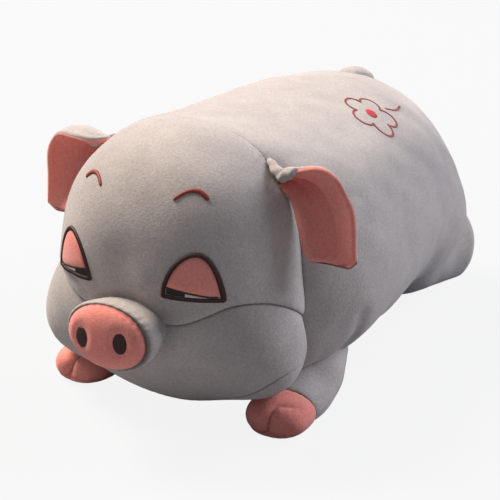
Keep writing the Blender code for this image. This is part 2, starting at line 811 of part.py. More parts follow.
# Ear rows from the root to the tip. Each row runs from the inner edge to the curled outer edge,
# and each point is (outwards, forwards, downwards) as shares of the ear's reach, cup and fall.
EAR_ROWS_SHARES = (
    ((0, 0.05, 0.12), (0, -0.1, 0.05), (0.01, -0.15, -0.02), (0.03, -0.02, -0.08), (0.07, 0.2, -0.12)),
    ((0.18, 0.25, 0.28), (0.26, -0.25, 0.15), (0.33, -0.4, 0.02), (0.38, -0.15, -0.12), (0.38, 0.35, -0.16)),
    ((0.29, 0.45, 0.48), (0.42, -0.15, 0.32), (0.56, -0.4, 0.14), (0.68, -0.2, -0.04), (0.72, 0.3, -0.1)),
    ((0.37, 0.55, 0.66), (0.53, -0.05, 0.55), (0.72, -0.35, 0.42), (0.89, -0.25, 0.26), (0.95, 0.15, 0.18)),
    ((0.43, 0.6, 0.83), (0.58, 0.05, 0.8), (0.76, -0.25, 0.73), (0.93, -0.25, 0.62), (1, 0, 0.55)),
    ((0.52, 0.55, 0.95), (0.66, 0.15, 1), (0.8, -0.1, 1), (0.92, -0.15, 0.96), (0.99, -0.05, 0.88)),
)


def ear_rows(side, trim):
    """The ear's sheet as rows of points, drawn in from its outline."""
    rows = [
        [
            Vector((
                EAR_ROOT[0] + EAR_REACHES[side] * out,
                -EAR_ROOT[1] - EAR_CUP * ahead,
                EAR_ROOT[2] - EAR_DROPS[side] - EAR_FALL * down,
            ))
            for out, ahead, down in row
        ]
        for row in EAR_ROWS_SHARES
    ]
    if trim:
        for row in rows:
            row[0] += (row[1] - row[0]).normalized() * trim
            row[-1] += (row[-2] - row[-1]).normalized() * trim
        for j in range(len(rows[-1])):
            rows[-1][j] += (rows[-2][j] - rows[-1][j]).normalized() * trim
    return [[Vector((side * p.x, p.y, p.z)) for p in row] for row in rows]


def sheet_mesh(rows):
    """An open sheet through rows of points, facing forwards."""
    mesh = bmesh.new()
    verts = [[mesh.verts.new(point) for point in row] for row in rows]
    for near, far in zip(verts, verts[1:]):
        for i in range(len(near) - 1):
            mesh.faces.new((near[i], near[i + 1], far[i + 1], far[i]))
    mesh.normal_update()
    if sum(face.normal.y for face in mesh.faces) > 0:
        bmesh.ops.reverse_faces(mesh, faces=mesh.faces)
    return mesh


def make_ear(toy, head, body, side, label):
    """Two plies sewn into the neck seam: a grey back and a pink lining, cupped forwards."""
    pivot = Vector((side * EAR_ROOT[0], -EAR_ROOT[1], EAR_ROOT[2]))
    back = toy.part(f"ear_back_{label}", smoothed(sheet_mesh(ear_rows(side, 0))), toy.grey, pivot)
    sheet = offset(smoothed(sheet_mesh(ear_rows(side, EAR_TRIM))), EAR_CLOTH + EAR_PLY_GAP)
    lining = toy.part(f"ear_lining_{label}", sheet, toy.pink, pivot)
    for ply in (back, lining):
        solidify(ply, EAR_CLOTH)
        boolean(ply, head, "DIFFERENCE")
        boolean(ply, body, "DIFFERENCE")


class Limb:
    """A stuffed leg: a ball at its hinge, a tube that narrows to the wrist, and a round end or a hoof."""

    def __init__(self, name, splay, hoofed, hip, root, wrist, half_width, height, hoof, side):
        self.name = name
        self.side = side
        self.splay = splay
        self.hoofed = hoofed
        self.root = root
        self.half_width = half_width
        self.height = height
        self.hoof = hoof
        self.hip = Vector((side * hip[0], hip[1], 0))
        wrist = Vector((side * wrist[0], wrist[1], 0))
        self.reach = (wrist - self.hip).length
        self.ahead = (wrist - self.hip).normalized()
        self.across = Vector((self.ahead.y, -self.ahead.x, 0))
        self.pivot = self.hip + Vector((0, 0, root - FLAT_CUT))

    def oval(self, along, half_width, bottom, top, pinch=0.0):
        """An oval across the leg, at a distance along it from the hinge. A pinch draws its crown down."""
        centre = self.hip + self.ahead * along
        points = []
        for k in range(LEG_AROUND):
            turn = 2 * math.pi * k / LEG_AROUND
            z = (top + bottom) / 2 + (top - bottom) / 2 * math.sin(turn)
            crown = 1 if 4 * k == LEG_AROUND else 0
            aside = self.across * (half_width * math.cos(turn))
            points.append(centre + aside + Vector((0, 0, z - pinch * crown)))
        return points

    def tube_rings(self, inside):
        """From the ball's middle to the wrist."""
        rings = []
        for share in (0.0, 0.45, 1.0):
            ease = share * share * (3 - 2 * share)
            rings.append(self.oval(
                self.reach * share,
                mix(self.root * ROOT_SHARE, self.half_width, ease) - inside,
                mix(self.root * (1 - ROOT_SHARE), -LIMB_SINK, ease) + inside,
                mix(self.root * (1 + ROOT_SHARE), self.height, ease) - inside,
            ))
        return rings

    def hoof_rings(self, inside):
        """From the wrist to near the hoof's front, with the cleft over its crown, and the front's pole."""
        rings = []
        middle = (self.height - LIMB_SINK) / 2
        crease = HOOF_CREASE if self.hoofed else 0
        for turn, swell, pinch in ((0, 1.0, 0.0), (30, 1.06, 0.0), (62, 1.10, crease)):
            size = math.cos(math.radians(turn)) ** 0.5 * swell
            along = self.reach + SEAM_GAP + (self.hoof - inside) * math.sin(math.radians(turn))
            tall = (self.height + LIMB_SINK) / 2 * size - inside
            wide = self.half_width * size - inside
            rings.append(self.oval(along, wide, middle - tall, middle + tall, pinch))
        front = self.reach + self.hoof - inside - crease / 2
        return rings, self.hip + self.ahead * front + Vector((0, 0, middle))

    def outside(self):
        """The leg's outside as a closed form. If it has a hoof, the form ends flat at the wrist."""
        rings = self.tube_rings(0)
        if not self.hoofed:
            front, pole = self.hoof_rings(0)
            return settled(smoothed(loft(rings + front[1:], "flat", pole)))
        rings.append(beyond(rings[-1], rings[-2]))
        form = settled(smoothed(loft(rings, "flat", "flat")))
        return cut_flat(form, self.hip + self.ahead * self.reach, self.ahead)

    def hoof_form(self):
        """The hoof's outside as a closed form that starts flat at the wrist."""
        rings, pole = self.hoof_rings(0)
        rings.insert(0, beyond(rings[0], rings[1]))
        form = settled(smoothed(loft(rings, "flat", pole)))
        return cut_flat(form, self.hip + self.ahead * (self.reach + SEAM_GAP), -self.ahead)

    def core(self, inside):
        """A form inside the tube and the hoof, raised off the cloth that lies on the floor."""
        hoof, pole = self.hoof_rings(inside + HOOF_SLACK)
        tube = self.tube_rings(inside)
        tube[-1] = [point + self.ahead * inside for point in tube[-1]]
        mesh = loft(tube + hoof[1:], "flat", pole)
        for vert in mesh.verts:
            vert.co.z = max(vert.co.z, inside - FLAT_CUT)
        bmesh.ops.triangulate(mesh, faces=mesh.faces, quad_method="FIXED")
        return mesh


def body_as_met(toy, limb, body):
    """The body's keep-out where a leg meets it: at rest, and for a hind leg at the steps of its splay."""
    met = [body]
    for k in range(limb.splay):
        form = body_form(SEAM_GAP, -NECK_AHEAD)
        turn = Matrix.Rotation(math.radians(limb.side * HIND_SPLAY_DEG * (k + 1) / limb.splay), 4, "Z")
        about = Matrix.Translation(limb.pivot) @ turn @ Matrix.Translation(-limb.pivot)
        bmesh.ops.transform(form, matrix=about, verts=form.verts)
        met.append(toy.cutter(f"{limb.name}_keep_out_{k}", form))
    return met


def make_limb(toy, limb, head, body, floor):
    """The sleeve and any hoof are cloth around one core of filling, which runs into the hinge's ball."""
    inset = CLOTH + FILLING_GAP
    met = body_as_met(toy, limb, body)
    hollow = toy.cutter(limb.name + "_hollow", limb.core(CLOTH))
    inner_ball = toy.cutter(limb.name + "_hollow_ball", ball_mesh(limb.pivot, limb.root - CLOTH))
    boolean(hollow, inner_ball, "UNION")
    sleeve = toy.part(limb.name, limb.outside(), toy.grey, limb.pivot)
    for form in met:
        boolean(sleeve, form, "DIFFERENCE")
    boolean(sleeve, toy.cutter(limb.name + "_ball", ball_mesh(limb.pivot, limb.root)), "UNION")
    cloths = [sleeve]
    if limb.hoofed:
        cloths.append(toy.part(limb.name.replace("leg", "hoof"), limb.hoof_form(), toy.pink, limb.pivot))
    filling = toy.part(limb.name + "_filling", limb.core(inset), toy.fibre, limb.pivot)
    for form in met:
        boolean(filling, form, "DIFFERENCE")
    core_ball = toy.cutter(limb.name + "_filling_ball", ball_mesh(limb.pivot, limb.root - inset))
    boolean(filling, core_ball, "UNION")
    for cloth in cloths:
        boolean(cloth, hollow, "DIFFERENCE")
        boolean(cloth, floor, "DIFFERENCE")
    for piece in (*cloths, filling):
        boolean(piece, head, "DIFFERENCE")


def make_tail(toy, body):
    """A short plump stub, sewn to the rump by its front end, which is its hinge."""
    rest = Vector((0, TAIL_BACK, 0))
    tree = surface_of(bpy.data.objects["back_panel"])
    spot, _, _, _ = tree.ray_cast(rest + Vector((0, 0, BODY_FRONT_TOP + OVERRUN)), Vector((0, 0, -1)))
    lean = Matrix.Rotation(math.radians(-TAIL_LEAN_DEG), 4, "X")
    root = spot + lean @ Vector((0, -TAIL_HALF_LENGTH, 0))
    inset = CLOTH + FILLING_GAP
    for name, inside, material in (("tail", 0, toy.grey), ("tail_filling", inset, toy.fibre)):
        stub = bmesh.new()
        bmesh.ops.create_uvsphere(stub, u_segments=12, v_segments=8, radius=1)
        size = (TAIL_HALF_WIDTH - inside, TAIL_HALF_LENGTH - inside, TAIL_RISE - inside)
        bmesh.ops.scale(stub, vec=size, verts=stub.verts)
        bmesh.ops.transform(stub, matrix=Matrix.Translation(spot) @ lean, verts=stub.verts)
        piece = toy.part(name, stub, material, root)
        if not inside:
            solidify(piece, CLOTH)
        boolean(piece, body, "DIFFERENCE")


def main():
    clear_scene()
    toy = Toy()
    head = toy.cutter("head_keep_out", head_form(SEAM_GAP, 2 * CLOTH - NECK_AHEAD))
    body = toy.cutter("body_keep_out", body_form(SEAM_GAP, -NECK_AHEAD))
    head_wide = toy.cutter("head_keep_out_wide", head_form(HINGE_GAP, 2 * CLOTH - NECK_AHEAD))
    body_wide = toy.cutter("body_keep_out_wide", body_form(HINGE_GAP, -NECK_AHEAD))
    floor = floor_cutter(toy)
    limbs = []
    for side, label in ((1, "left"), (-1, "right")):
        limbs.append(Limb(f"front_leg_{label}", 0, True, FRONT_HIP, FRONT_ROOT, FRONT_WRISTS[side],
                          FRONT_WRIST_HALF_WIDTH, FRONT_WRIST_HEIGHT, FRONT_HOOF, side))
        limbs.append(Limb(f"hind_leg_{label}", HIND_SPLAY_STEPS, False, HIND_HIP, HIND_ROOT, HIND_WRIST,
                          HIND_WRIST_HALF_WIDTH, HIND_WRIST_HEIGHT, HIND_TIP, side))
    sockets = []
    for limb in limbs:
        clear = (limb.root + SEAM_GAP) / math.cos(math.pi / SOCKET_AROUND)
        sockets.append(toy.cutter(limb.name + "_socket", ball_mesh(limb.pivot, clear, SOCKET_AROUND)))
    make_body(toy, floor, sockets)
    make_head(toy, floor)
    make_fillings(toy, sockets)
    face = surface_of(bpy.data.objects["face_panel"])
    pad = surface_of(make_snout(toy, head))
    for side, label in ((1, "left"), (-1, "right")):
        make_eye(toy, face, side, label)
        make_brow(toy, face, side, label)
        make_nostril(toy, pad, side, label)
        make_ear(toy, head_wide, body_wide, side, label)
    make_hip_embroidery(toy, surface_of(bpy.data.objects["back_panel"]))
    make_tail(toy, body_wide)
    for limb in limbs:
        make_limb(toy, limb, head, body, floor)


main()
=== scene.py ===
# %% [markdown]
# # A stuffed pig
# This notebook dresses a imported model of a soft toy: a grey pig that lies on its belly, with a pink
# snout and sleepy stitched eyes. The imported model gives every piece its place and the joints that
# move it. Each cell here makes one piece of cloth, filling or thread around it, or one finish.
# Lengths are in metres. The snout points along -Y, the pig's left side is at +X, and +Z is up.

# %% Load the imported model
import json
import math

import bmesh
import bpy
import numpy as np
from mathutils import Matrix

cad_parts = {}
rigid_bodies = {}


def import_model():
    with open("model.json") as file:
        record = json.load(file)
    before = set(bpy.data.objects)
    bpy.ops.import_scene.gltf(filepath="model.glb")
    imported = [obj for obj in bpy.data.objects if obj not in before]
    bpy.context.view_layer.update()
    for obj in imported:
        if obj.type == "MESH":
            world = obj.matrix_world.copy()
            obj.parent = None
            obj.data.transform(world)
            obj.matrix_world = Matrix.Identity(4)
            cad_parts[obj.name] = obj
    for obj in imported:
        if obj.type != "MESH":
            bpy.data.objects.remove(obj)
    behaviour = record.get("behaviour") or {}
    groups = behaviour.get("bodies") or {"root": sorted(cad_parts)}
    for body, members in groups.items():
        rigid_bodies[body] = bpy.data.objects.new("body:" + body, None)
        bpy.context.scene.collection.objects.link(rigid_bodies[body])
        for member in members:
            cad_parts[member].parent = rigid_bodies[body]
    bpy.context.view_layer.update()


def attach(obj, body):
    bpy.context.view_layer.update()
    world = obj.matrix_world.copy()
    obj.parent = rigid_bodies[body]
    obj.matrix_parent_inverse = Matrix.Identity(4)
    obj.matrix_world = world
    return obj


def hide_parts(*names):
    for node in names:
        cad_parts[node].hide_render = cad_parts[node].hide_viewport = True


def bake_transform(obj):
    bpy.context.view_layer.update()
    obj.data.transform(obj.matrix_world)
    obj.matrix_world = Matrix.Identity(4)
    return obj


for leftover in list(bpy.data.objects):
    bpy.data.objects.remove(leftover)
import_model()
SIDES = ((1, "left"), (-1, "right"))
SKIN = 0.0018

# %% [markdown]
# ## The camera
# The toy was photographed with a long lens from its left front, from a little above. A camera is set
# from three directions: where it looks back from, what is right, and what is up. A long lens keeps
# the near hoof and the far rump close to one scale, which is why the toy looks so compact.

# %% Camera
TURN, TILT = math.radians(29.8), math.radians(21.5)
LENS = 100.8
EYE = (0.5853932, -1.0403682, 0.5588703)
back = np.array([math.sin(TURN) * math.cos(TILT), -math.cos(TURN) * math.cos(TILT), math.sin(TILT)])
right = np.array([math.cos(TURN), math.sin(TURN), 0.0])
up = np.cross(back, right)
lens = bpy.data.cameras.new("camera")
lens.lens = LENS
lens.sensor_width = 36
lens.clip_end = 20
camera = bpy.data.objects.new("camera", lens)
camera.matrix_world = Matrix([[right[k], up[k], back[k], EYE[k]] for k in range(3)] + [[0, 0, 0, 1]])
bpy.context.scene.collection.objects.link(camera)
bpy.context.scene.camera = camera
print("camera", [round(v, 3) for v in EYE])

# %% [markdown]
# ## Shader sums in Python
# A finish is a small sum: a colour, a little lighter where the nap lies one way, darker in a seam.
# Written as nodes by hand it is long, so a small class wraps a socket and turns Python's operators
# into Math nodes. Another class holds one material and adds any other node by its type.


# %% Shader helpers
class Wire:
    """A number coming out of a shader node, which can be used in a Python sum."""

    def __init__(self, finish, socket):
        self.finish = finish
        self.socket = socket

    def sum(self, operation, first, second):
        return self.finish.node("ShaderNodeMath", {"operation": operation}, {0: first, 1: second})

    def __add__(self, other):
        return self.sum("ADD", self, other)

    def __radd__(self, other):
        return self.sum("ADD", other, self)

    def __sub__(self, other):
        return self.sum("SUBTRACT", self, other)

    def __rsub__(self, other):
        return self.sum("SUBTRACT", other, self)

    def __mul__(self, other):
        return self.sum("MULTIPLY", self, other)

    def __rmul__(self, other):
        return self.sum("MULTIPLY", other, self)


class Finish:
    """One material: its Principled shader, and a way to add nodes in front of it."""

    def __init__(self, name):
        self.material = bpy.data.materials.new(name)
        self.material.use_nodes = True
        self.tree = self.material.node_tree
        self.shader = self.tree.nodes["Principled BSDF"]

    def node(self, kind, settings=None, inputs=None, output=0):
        """Adds a node. Its settings come first, then a value or a wire for each named socket."""
        made = self.tree.nodes.new(kind)
        for key, value in (settings or {}).items():
            setattr(made, key, value)
        for key, value in (inputs or {}).items():
            self.feed(made.inputs[key], value)
        return Wire(self, made.outputs[output])

    def feed(self, socket, value):
        if isinstance(value, Wire):
            self.tree.links.new(value.socket, socket)
        else:
            socket.default_value = value

    def place(self):
        return self.node("ShaderNodeTexCoord", output="Object")

    def noise(self, scale, detail=2.0, rough=0.5, place=None):
        """Soft noise from 0 to 1, with its features 1/scale metres apart."""
        inputs = {"Vector": place or self.place(), "Scale": scale, "Detail": detail, "Roughness": rough}
        return self.node("ShaderNodeTexNoise", None, inputs)

    def blend(self, share, first, second):
        """A colour between two colours."""
        made = self.tree.nodes.new("ShaderNodeMix")
        made.data_type = "RGBA"
        self.feed(made.inputs[0], share)
        self.feed(made.inputs[6], first)
        self.feed(made.inputs[7], second)
        return Wire(self, made.outputs[2])

    def bump(self, height, distance, strength=1.0):
        inputs = {"Height": height, "Distance": distance, "Strength": strength}
        return self.node("ShaderNodeBump", None, inputs)

    def set(self, **values):
        for key, value in values.items():
            self.feed(self.shader.inputs[key.replace("_", " ")], value)


def srgb(red, green, blue):
    """A colour read off a screen, 0 to 255, as the linear light that a shader takes."""
    parts = [c / 255 for c in (red, green, blue)]
    return (*[p / 12.92 if p <= 0.04045 else ((p + 0.055) / 1.055) ** 2.4 for p in parts], 1.0)


# %% [markdown]
# ## Velour
# The cloth is a short, dense, brushed velour. From a step away it looks matt and slightly mottled,
# because the nap leans different ways where a hand has stroked it. Close up it is a fine grain.
# Fur strands would be far too many for a nap this short, so the grain is a fine bump and the
# mottling is a soft colour change. Sheen lights the edge of every roundness, as loose fibre ends do.
# Each mesh carries an attribute named seam, 1 on a seam and 0 away from it, which paints shade into
# the colour: the shade of the seam's valley, over the needle line. On the ears it also paints the
# shade of the cup and of the cloth bunched at the root.


# %% Velour finishes
def scaled(colour, factor):
    return (*[min(1.0, part * factor) for part in colour[:3]], 1.0)


def velour(name, lit, shade, grain=0.16):
    finish = Finish(name)
    place = finish.place()
    strokes = finish.noise(13.0, 2.0, 0.55, place)
    patches = finish.noise(45.0, 3.0, 0.6, place)
    fibres = finish.noise(1250.0, 2.0, 0.7, place)
    pile = finish.noise(520.0, 2.0, 0.6, place)
    lean = strokes * 0.55 + patches * 0.45
    tone = finish.node(
        "ShaderNodeMapRange", None, {"Value": lean, "From Min": 0.36, "From Max": 0.64}
    )
    speck = finish.node(
        "ShaderNodeMapRange", None, {"Value": fibres * 0.4 + pile * 0.6, "From Min": 0.34, "From Max": 0.66}
    )
    deep = finish.blend(tone, scaled(shade, 1 - grain), scaled(lit, 1 - grain))
    high = finish.blend(tone, scaled(shade, 1 + grain), scaled(lit, 1 + grain))
    colour = finish.blend(speck, deep, high)
    # Painted shade: the seam attribute draws the colour towards a deep copy of the shade colour.
    seam = finish.node("ShaderNodeAttribute", {"attribute_name": "seam"}, output="Fac")
    colour = finish.blend(seam * 0.62, colour, scaled(shade, 0.14))
    grain_bump = finish.bump(fibres * 0.6 + pile, 0.0006, 0.60)
    finish.set(Base_Color=colour, Normal=grain_bump, Roughness=0.95, Sheen_Weight=0.28)
    finish.set(Sheen_Roughness=0.45, Specular_IOR_Level=0.12)
    finish.shader.inputs["Sheen Tint"].default_value = (1.0, 0.97, 0.94, 1.0)
    return finish.material


GREY = velour("grey velour", srgb(192, 184, 181), srgb(178, 170, 169))
PINK = velour("pink velour", srgb(255, 160, 148), srgb(251, 143, 133))
print("velour finishes made")

# %% [markdown]
# ## Thread and fibre
# The eyes, brows, nostrils and the flower are satin stitch: rows of glossy thread laid side by side
# across a line. The ridges are in the mesh. The finish adds the finer twist of each thread along the
# piece's own UV map, whose u runs along the line in metres. The filling is loose white polyester.


# %% Thread finishes
def thread(name, colour, dark):
    finish = Finish(name)
    flat = finish.node("ShaderNodeUVMap", {"uv_map": "stitch"})
    place = finish.node(
        "ShaderNodeMapping", None, {"Vector": flat, "Scale": (2600.0, 420.0, 1.0)}
    )
    strands = finish.node(
        "ShaderNodeTexNoise", None, {"Vector": place, "Scale": 1.0, "Detail": 2.0}
    )
    finish.set(Base_Color=finish.blend(strands, dark, colour), Roughness=0.48)
    finish.set(Normal=finish.bump(strands, 0.0002, 0.6), Specular_IOR_Level=0.30)
    return finish.material


def fibre():
    finish = Finish("white fibre filling")
    tufts = finish.noise(160.0, 5.0, 0.65)
    finish.set(Base_Color=finish.blend(tufts, srgb(214, 212, 206), srgb(242, 241, 238)))
    finish.set(Normal=finish.bump(tufts, 0.002), Roughness=1.0, Sheen_Weight=0.3)
    return finish.material


DARK = thread("dark brown thread", srgb(62, 27, 21), srgb(30, 11, 8))
BROW = thread("red brown thread", srgb(168, 66, 56), srgb(96, 34, 30))
WHITE = thread("white thread", srgb(238, 236, 230), srgb(205, 203, 198))
BLACK = thread("black thread", srgb(34, 28, 28), srgb(14, 11, 11))
RED = thread("red thread", srgb(214, 44, 46), srgb(160, 20, 26))
FIBRE = fibre()
print("thread finishes made")

# %% [markdown]
# ## From a grid of points to a mesh
# Every piece is a surface of two parameters, worked out for a whole grid of points at once. A grid is
# easy to turn into a mesh: its rows and columns give the faces. The maker below also turns the faces
# outwards, by comparing them with a point inside the piece, and joins points that coincide, so that a
# pole or a zipped edge is closed.


# %% Mesh helpers
def mesh_of(name, grid, finish, inside, around=False, values=None, flat=None):
    """Makes an object from points in rows and columns. around joins the last column to the first.

    A face takes the four corners (i, j), (i, j+1), (i+1, j+1), (i+1, j).
    """
    rows, columns = grid.shape[:2]
    points = grid.reshape(-1, 3)
    across = np.arange(columns if around else columns - 1)
    i, j = np.meshgrid(np.arange(rows - 1), across, indexing="ij")
    i, j = i.ravel(), j.ravel()
    after = (j + 1) % columns
    here, below = i * columns, (i + 1) * columns
    quads = np.stack([here + j, here + after, below + after, below + j], 1)
    corners = points[quads]
    normal = np.cross(corners[:, 2] - corners[:, 0], corners[:, 3] - corners[:, 1])
    if (normal * (corners.mean(1) - np.asarray(inside))).sum() < 0:
        quads = quads[:, ::-1]
    data = bpy.data.meshes.new(name)
    data.from_pydata(points.tolist(), [], quads.tolist())
    if values is not None:
        seam = data.attributes.new("seam", "FLOAT", "POINT")
        seam.data.foreach_set("value", np.asarray(values, np.float32).ravel())
    if flat is not None:
        layer = data.uv_layers.new(name="stitch")
        layer.data.foreach_set("uv", flat.reshape(-1, 2)[quads].astype(np.float32).ravel())
    close_up(data)
    data.shade_smooth()
    data.materials.append(finish)
    piece = bpy.data.objects.new(name, data)
    bpy.context.scene.collection.objects.link(piece)
    return piece


def close_up(data):
    """Joins points that coincide, so a pole is one point."""
    work = bmesh.new()
    work.from_mesh(data)
    bmesh.ops.remove_doubles(work, verts=work.verts, dist=0.000002)
    loose = [vert for vert in work.verts if not vert.link_faces]
    bmesh.ops.delete(work, geom=loose, context="VERTS")
    work.to_mesh(data)
    work.free()


def thicken(piece, thickness=SKIN):
    cloth = piece.modifiers.new("cloth", "SOLIDIFY")
    cloth.thickness = thickness
    cloth.offset = -1


def settle_piece(piece, body, slot, *nodes, fill=None, bend=None):
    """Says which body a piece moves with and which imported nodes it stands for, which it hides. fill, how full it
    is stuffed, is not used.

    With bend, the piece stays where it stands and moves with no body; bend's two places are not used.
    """
    if bend is None:
        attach(piece, body)
    else:
        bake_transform(piece)
    if nodes:
        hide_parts(*nodes)
    print(piece.name, len(piece.data.polygons), "faces")


def cut_size(grid, row=None):
    """A sheet's cut and area. Its width is the length of one row, or of the widest, and its length is
    that of its middle column. The rim isn't used, because it runs around the cut and is longer."""
    down, across = np.diff(grid, axis=0), np.diff(grid, axis=1)
    widths = np.linalg.norm(across, axis=2).sum(1)
    width = widths.max() if row is None else widths[row]
    length = np.linalg.norm(down[:, grid.shape[1] // 2], axis=1).sum()
    area = np.linalg.norm(np.cross(down[:, :-1], across[:-1]), axis=2).sum()
    print("cut", round(width, 4), "by", round(length, 4), "area", round(area, 5))
    return (width, length), area


def unit(vectors):
    return vectors / np.maximum(np.linalg.norm(vectors, axis=-1, keepdims=True), 1e-12)


def mix(first, second, share):
    return first + (second - first) * share


def rings(count, rows):
    """A grid of angles around, count to a ring, and of each row's share of the way along."""
    return np.meshgrid(np.linspace(0, 2 * np.pi, count + 1)[:-1], rows)


def capped(points):
    """The same rows with closed ends: the first and the last ring, each drawn together into its middle."""
    first, last = [ring.mean(1, keepdims=True) + 0 * ring for ring in (points[:1], points[-1:])]
    return np.concatenate([first, points, last])


def rounded(value, power):
    """A cosine or sine with its size raised to a power. Under 1 it makes an ellipse squarer."""
    return np.sign(value) * np.abs(value) ** power


def halve(function, low, high, rounds=46):
    """Where a rising function of one parameter crosses 0, for whole arrays, by halving an interval."""
    low, high = np.array(low, float), np.array(high, float)
    for _ in range(rounds):
        middle = (low + high) / 2
        over = function(middle) > 0
        high = np.where(over, middle, high)
        low = np.where(over, low, middle)
    return (low + high) / 2


def above_floor(points):
    """A soft underside: the floor pushes what would hang below it level.

    Between 6 mm over and 6 mm under the floor the height is a parabola, then it is flat.
    """
    z = points[..., 2]
    share = np.clip((z + 0.006) / 0.012, 0, 1)
    points[..., 2] = np.where(z > 0.006, z, 0.006 * share * share)
    return points


# %% [markdown]
# ## The head's shape
# The head is an egg with squared shoulders and a jowl on each side. In each direction from its
# middle it reaches a certain length, so one function of a direction gives the whole form. Directions
# fan out from the nose: an angle around the nose's axis, and a share of the way back to the neck.


# %% Head surface
HEAD = np.array([0.0, -0.115, 0.1305])
NOSE_DIP = math.radians(17)
JOWL = unit(np.array([0.790, -0.310, -0.530]))


def head_reach(way):
    """Length from the head's middle: (|x/a|^n + |y/b|^n + |z/c|^n)^(-1/n), plus a bell-shaped jowl."""
    tall = np.where(way[..., 2] > 0, 0.1127, 0.1275)
    half = np.stack([np.full_like(tall, 0.1054), np.full_like(tall, 0.1044), tall], -1)
    egg = (np.abs(way / half) ** 2.23).sum(-1) ** (-1 / 2.23)
    facing = np.stack([np.abs(way[..., 0]), way[..., 1], way[..., 2]], -1) @ JOWL
    away = np.degrees(np.arccos(np.clip(facing, -1, 1))) / 20.7
    return egg + 0.0320 * np.exp(-away * away)


def head_at(around, share):
    """A point by its angle around the nose's dipped axis and its share of the way to the neck seam."""
    dip_cos, dip_sin = math.cos(NOSE_DIP), math.sin(NOSE_DIP)
    off = share * np.arctan2(dip_cos, -np.sin(around) * dip_sin)
    a, b, c = np.sin(off) * np.cos(around), np.sin(off) * np.sin(around), np.cos(off)
    way = np.stack([a, -b * dip_sin - c * dip_cos, b * dip_cos - c * dip_sin], -1)
    return HEAD + way * head_reach(way)[..., None]


def crease_height(y):
    """Height of the seam over the jowl: a quarter sine up from the neck, then a quarter cosine down."""
    ahead = -y + HEAD[1]
    rising = mix(0.086, 0.1215, np.sin(np.clip(ahead / 0.068, 0, 1) * np.pi / 2))
    falling = mix(0.100, 0.1215, np.cos(np.clip((ahead - 0.068) / 0.032, 0, 1) * np.pi / 2))
    return np.where(ahead < 0.068, rising, falling)


def crease_angle(share):
    """The angle around the nose where the head's surface meets the crease."""
    def over(angle):
        spot = head_at(angle, share)
        return spot[..., 2] - crease_height(spot[..., 1])
    return halve(over, np.full_like(share, -1.45), np.full_like(share, 1.45))


print("crease at the neck:", np.round(head_at(crease_angle(np.array([1.0])), np.array([1.0])), 4))

# %% [markdown]
# ## Seams and folds
# Cloth over filling dives into a seam like the edge of a cushion: a quarter circle down to the
# stitches. A fold without a seam is a softer, rounded valley. Both are carved the same way. Each
# point is moved inwards by a length that depends on its distance to a curve in space. Along a seam
# the cloth is gathered a little, so short puckers run out from it.


# %% Carving helpers
def near(points, curve):
    """Each point's distance to a curve, and how far along the curve its nearest place lies."""
    flat = points.reshape(-1, 3)
    run = np.concatenate([[0], np.cumsum(np.linalg.norm(np.diff(curve, axis=0), axis=1))])
    distance = np.empty(len(flat))
    along = np.empty(len(flat))
    for start in range(0, len(flat), 20000):
        part = flat[start:start + 20000]
        gap = ((part[:, None, :] - curve[None, :, :]) ** 2).sum(-1)
        best = gap.argmin(1)
        distance[start:start + 20000] = np.sqrt(gap[np.arange(len(part)), best])
        along[start:start + 20000] = run[best]
    return distance.reshape(points.shape[:-1]), along.reshape(points.shape[:-1])


def roll(distance, width):
    """A quarter circle: 1 at a seam, falling steeply and then gently to 0 at the width."""
    share = np.clip(distance / width, 0, 1)
    return 1 - np.sqrt(1 - (1 - share) ** 2)


def pucker(distance, along, width, pitch=0.0085):
    """Short waves across a seam: a product of two sines along it, fading with the distance."""
    wave = np.sin(along * 2 * np.pi / pitch) * (0.6 + 0.4 * np.sin(along * 2 * np.pi / 0.047 + 1.3))
    return wave * np.exp(-distance / width) * np.clip(distance / 0.0015, 0, 1)


def lumps(points, size, seed):
    """Gentle unevenness of the filling: a sum of eight sine waves in fixed directions, about -1 to 1."""
    rng = np.random.default_rng(seed)
    total = np.zeros(points.shape[:-1])
    for _ in range(8):
        way = unit(rng.normal(size=3)) * 2 * np.pi / (size * rng.uniform(0.75, 1.4))
        total += np.sin(points @ way + rng.uniform(0, 6.28))
    return total / 4


def smooth_path(points, count=160):
    """A curve through a few points: Catmull-Rom, p1 + half of t(p2-p0) + t2(...) + t3(...)."""
    points = np.asarray(points, float)
    ends = np.concatenate([[2 * points[0] - points[1]], points, [2 * points[-1] - points[-2]]])
    t = np.linspace(0, len(points) - 1, count)
    k = np.minimum(t.astype(int), len(points) - 2)
    t = (t - k)[:, None]
    p0, p1, p2, p3 = ends[k], ends[k + 1], ends[k + 2], ends[k + 3]
    return p1 + 0.5 * t * (p2 - p0 + t * (2 * p0 - 5 * p1 + 4 * p2 - p3 + t * (3 * (p1 - p2) + p3 - p0)))


# %% [markdown]
# The head has four seams. Two creases part the face from the jowls, one curve under the chin parts
# off the chin, and the neck seam joins the head to the body. Where a seam lies is worked out once, on
# the plain form, and everything near it is carved by the same curves, so neighbouring panels meet.

# %% Head seams
ACROSS = np.linspace(0, 1, 241)
rows = np.linspace(0.02, 1, 160)
CREASE_LEFT = head_at(crease_angle(rows), rows)
CREASE_RIGHT = CREASE_LEFT * np.array([-1.0, 1.0, 1.0])


def jowl_angle(v, share):
    """From the left crease under the chin to the right crease."""
    edge = crease_angle(share)
    return mix(edge, -np.pi - edge, v)


def chin_share(v):
    """How far back the chin seam lies: nearly level under the chin, then a steep power up to the neck."""
    return np.minimum(1.0, 0.660 + 0.340 * (np.abs(2 * v - 1) / 0.83) ** 12)


CHIN_SHARE = chin_share(ACROSS)
CHIN_SEAM = head_at(jowl_angle(ACROSS, CHIN_SHARE), CHIN_SHARE)[CHIN_SHARE < 0.999]
turns = np.linspace(0, 2 * np.pi, 361)
NECK_SEAM = head_at(turns, np.ones_like(turns))
turns = np.linspace(0, 2 * np.pi, 241)


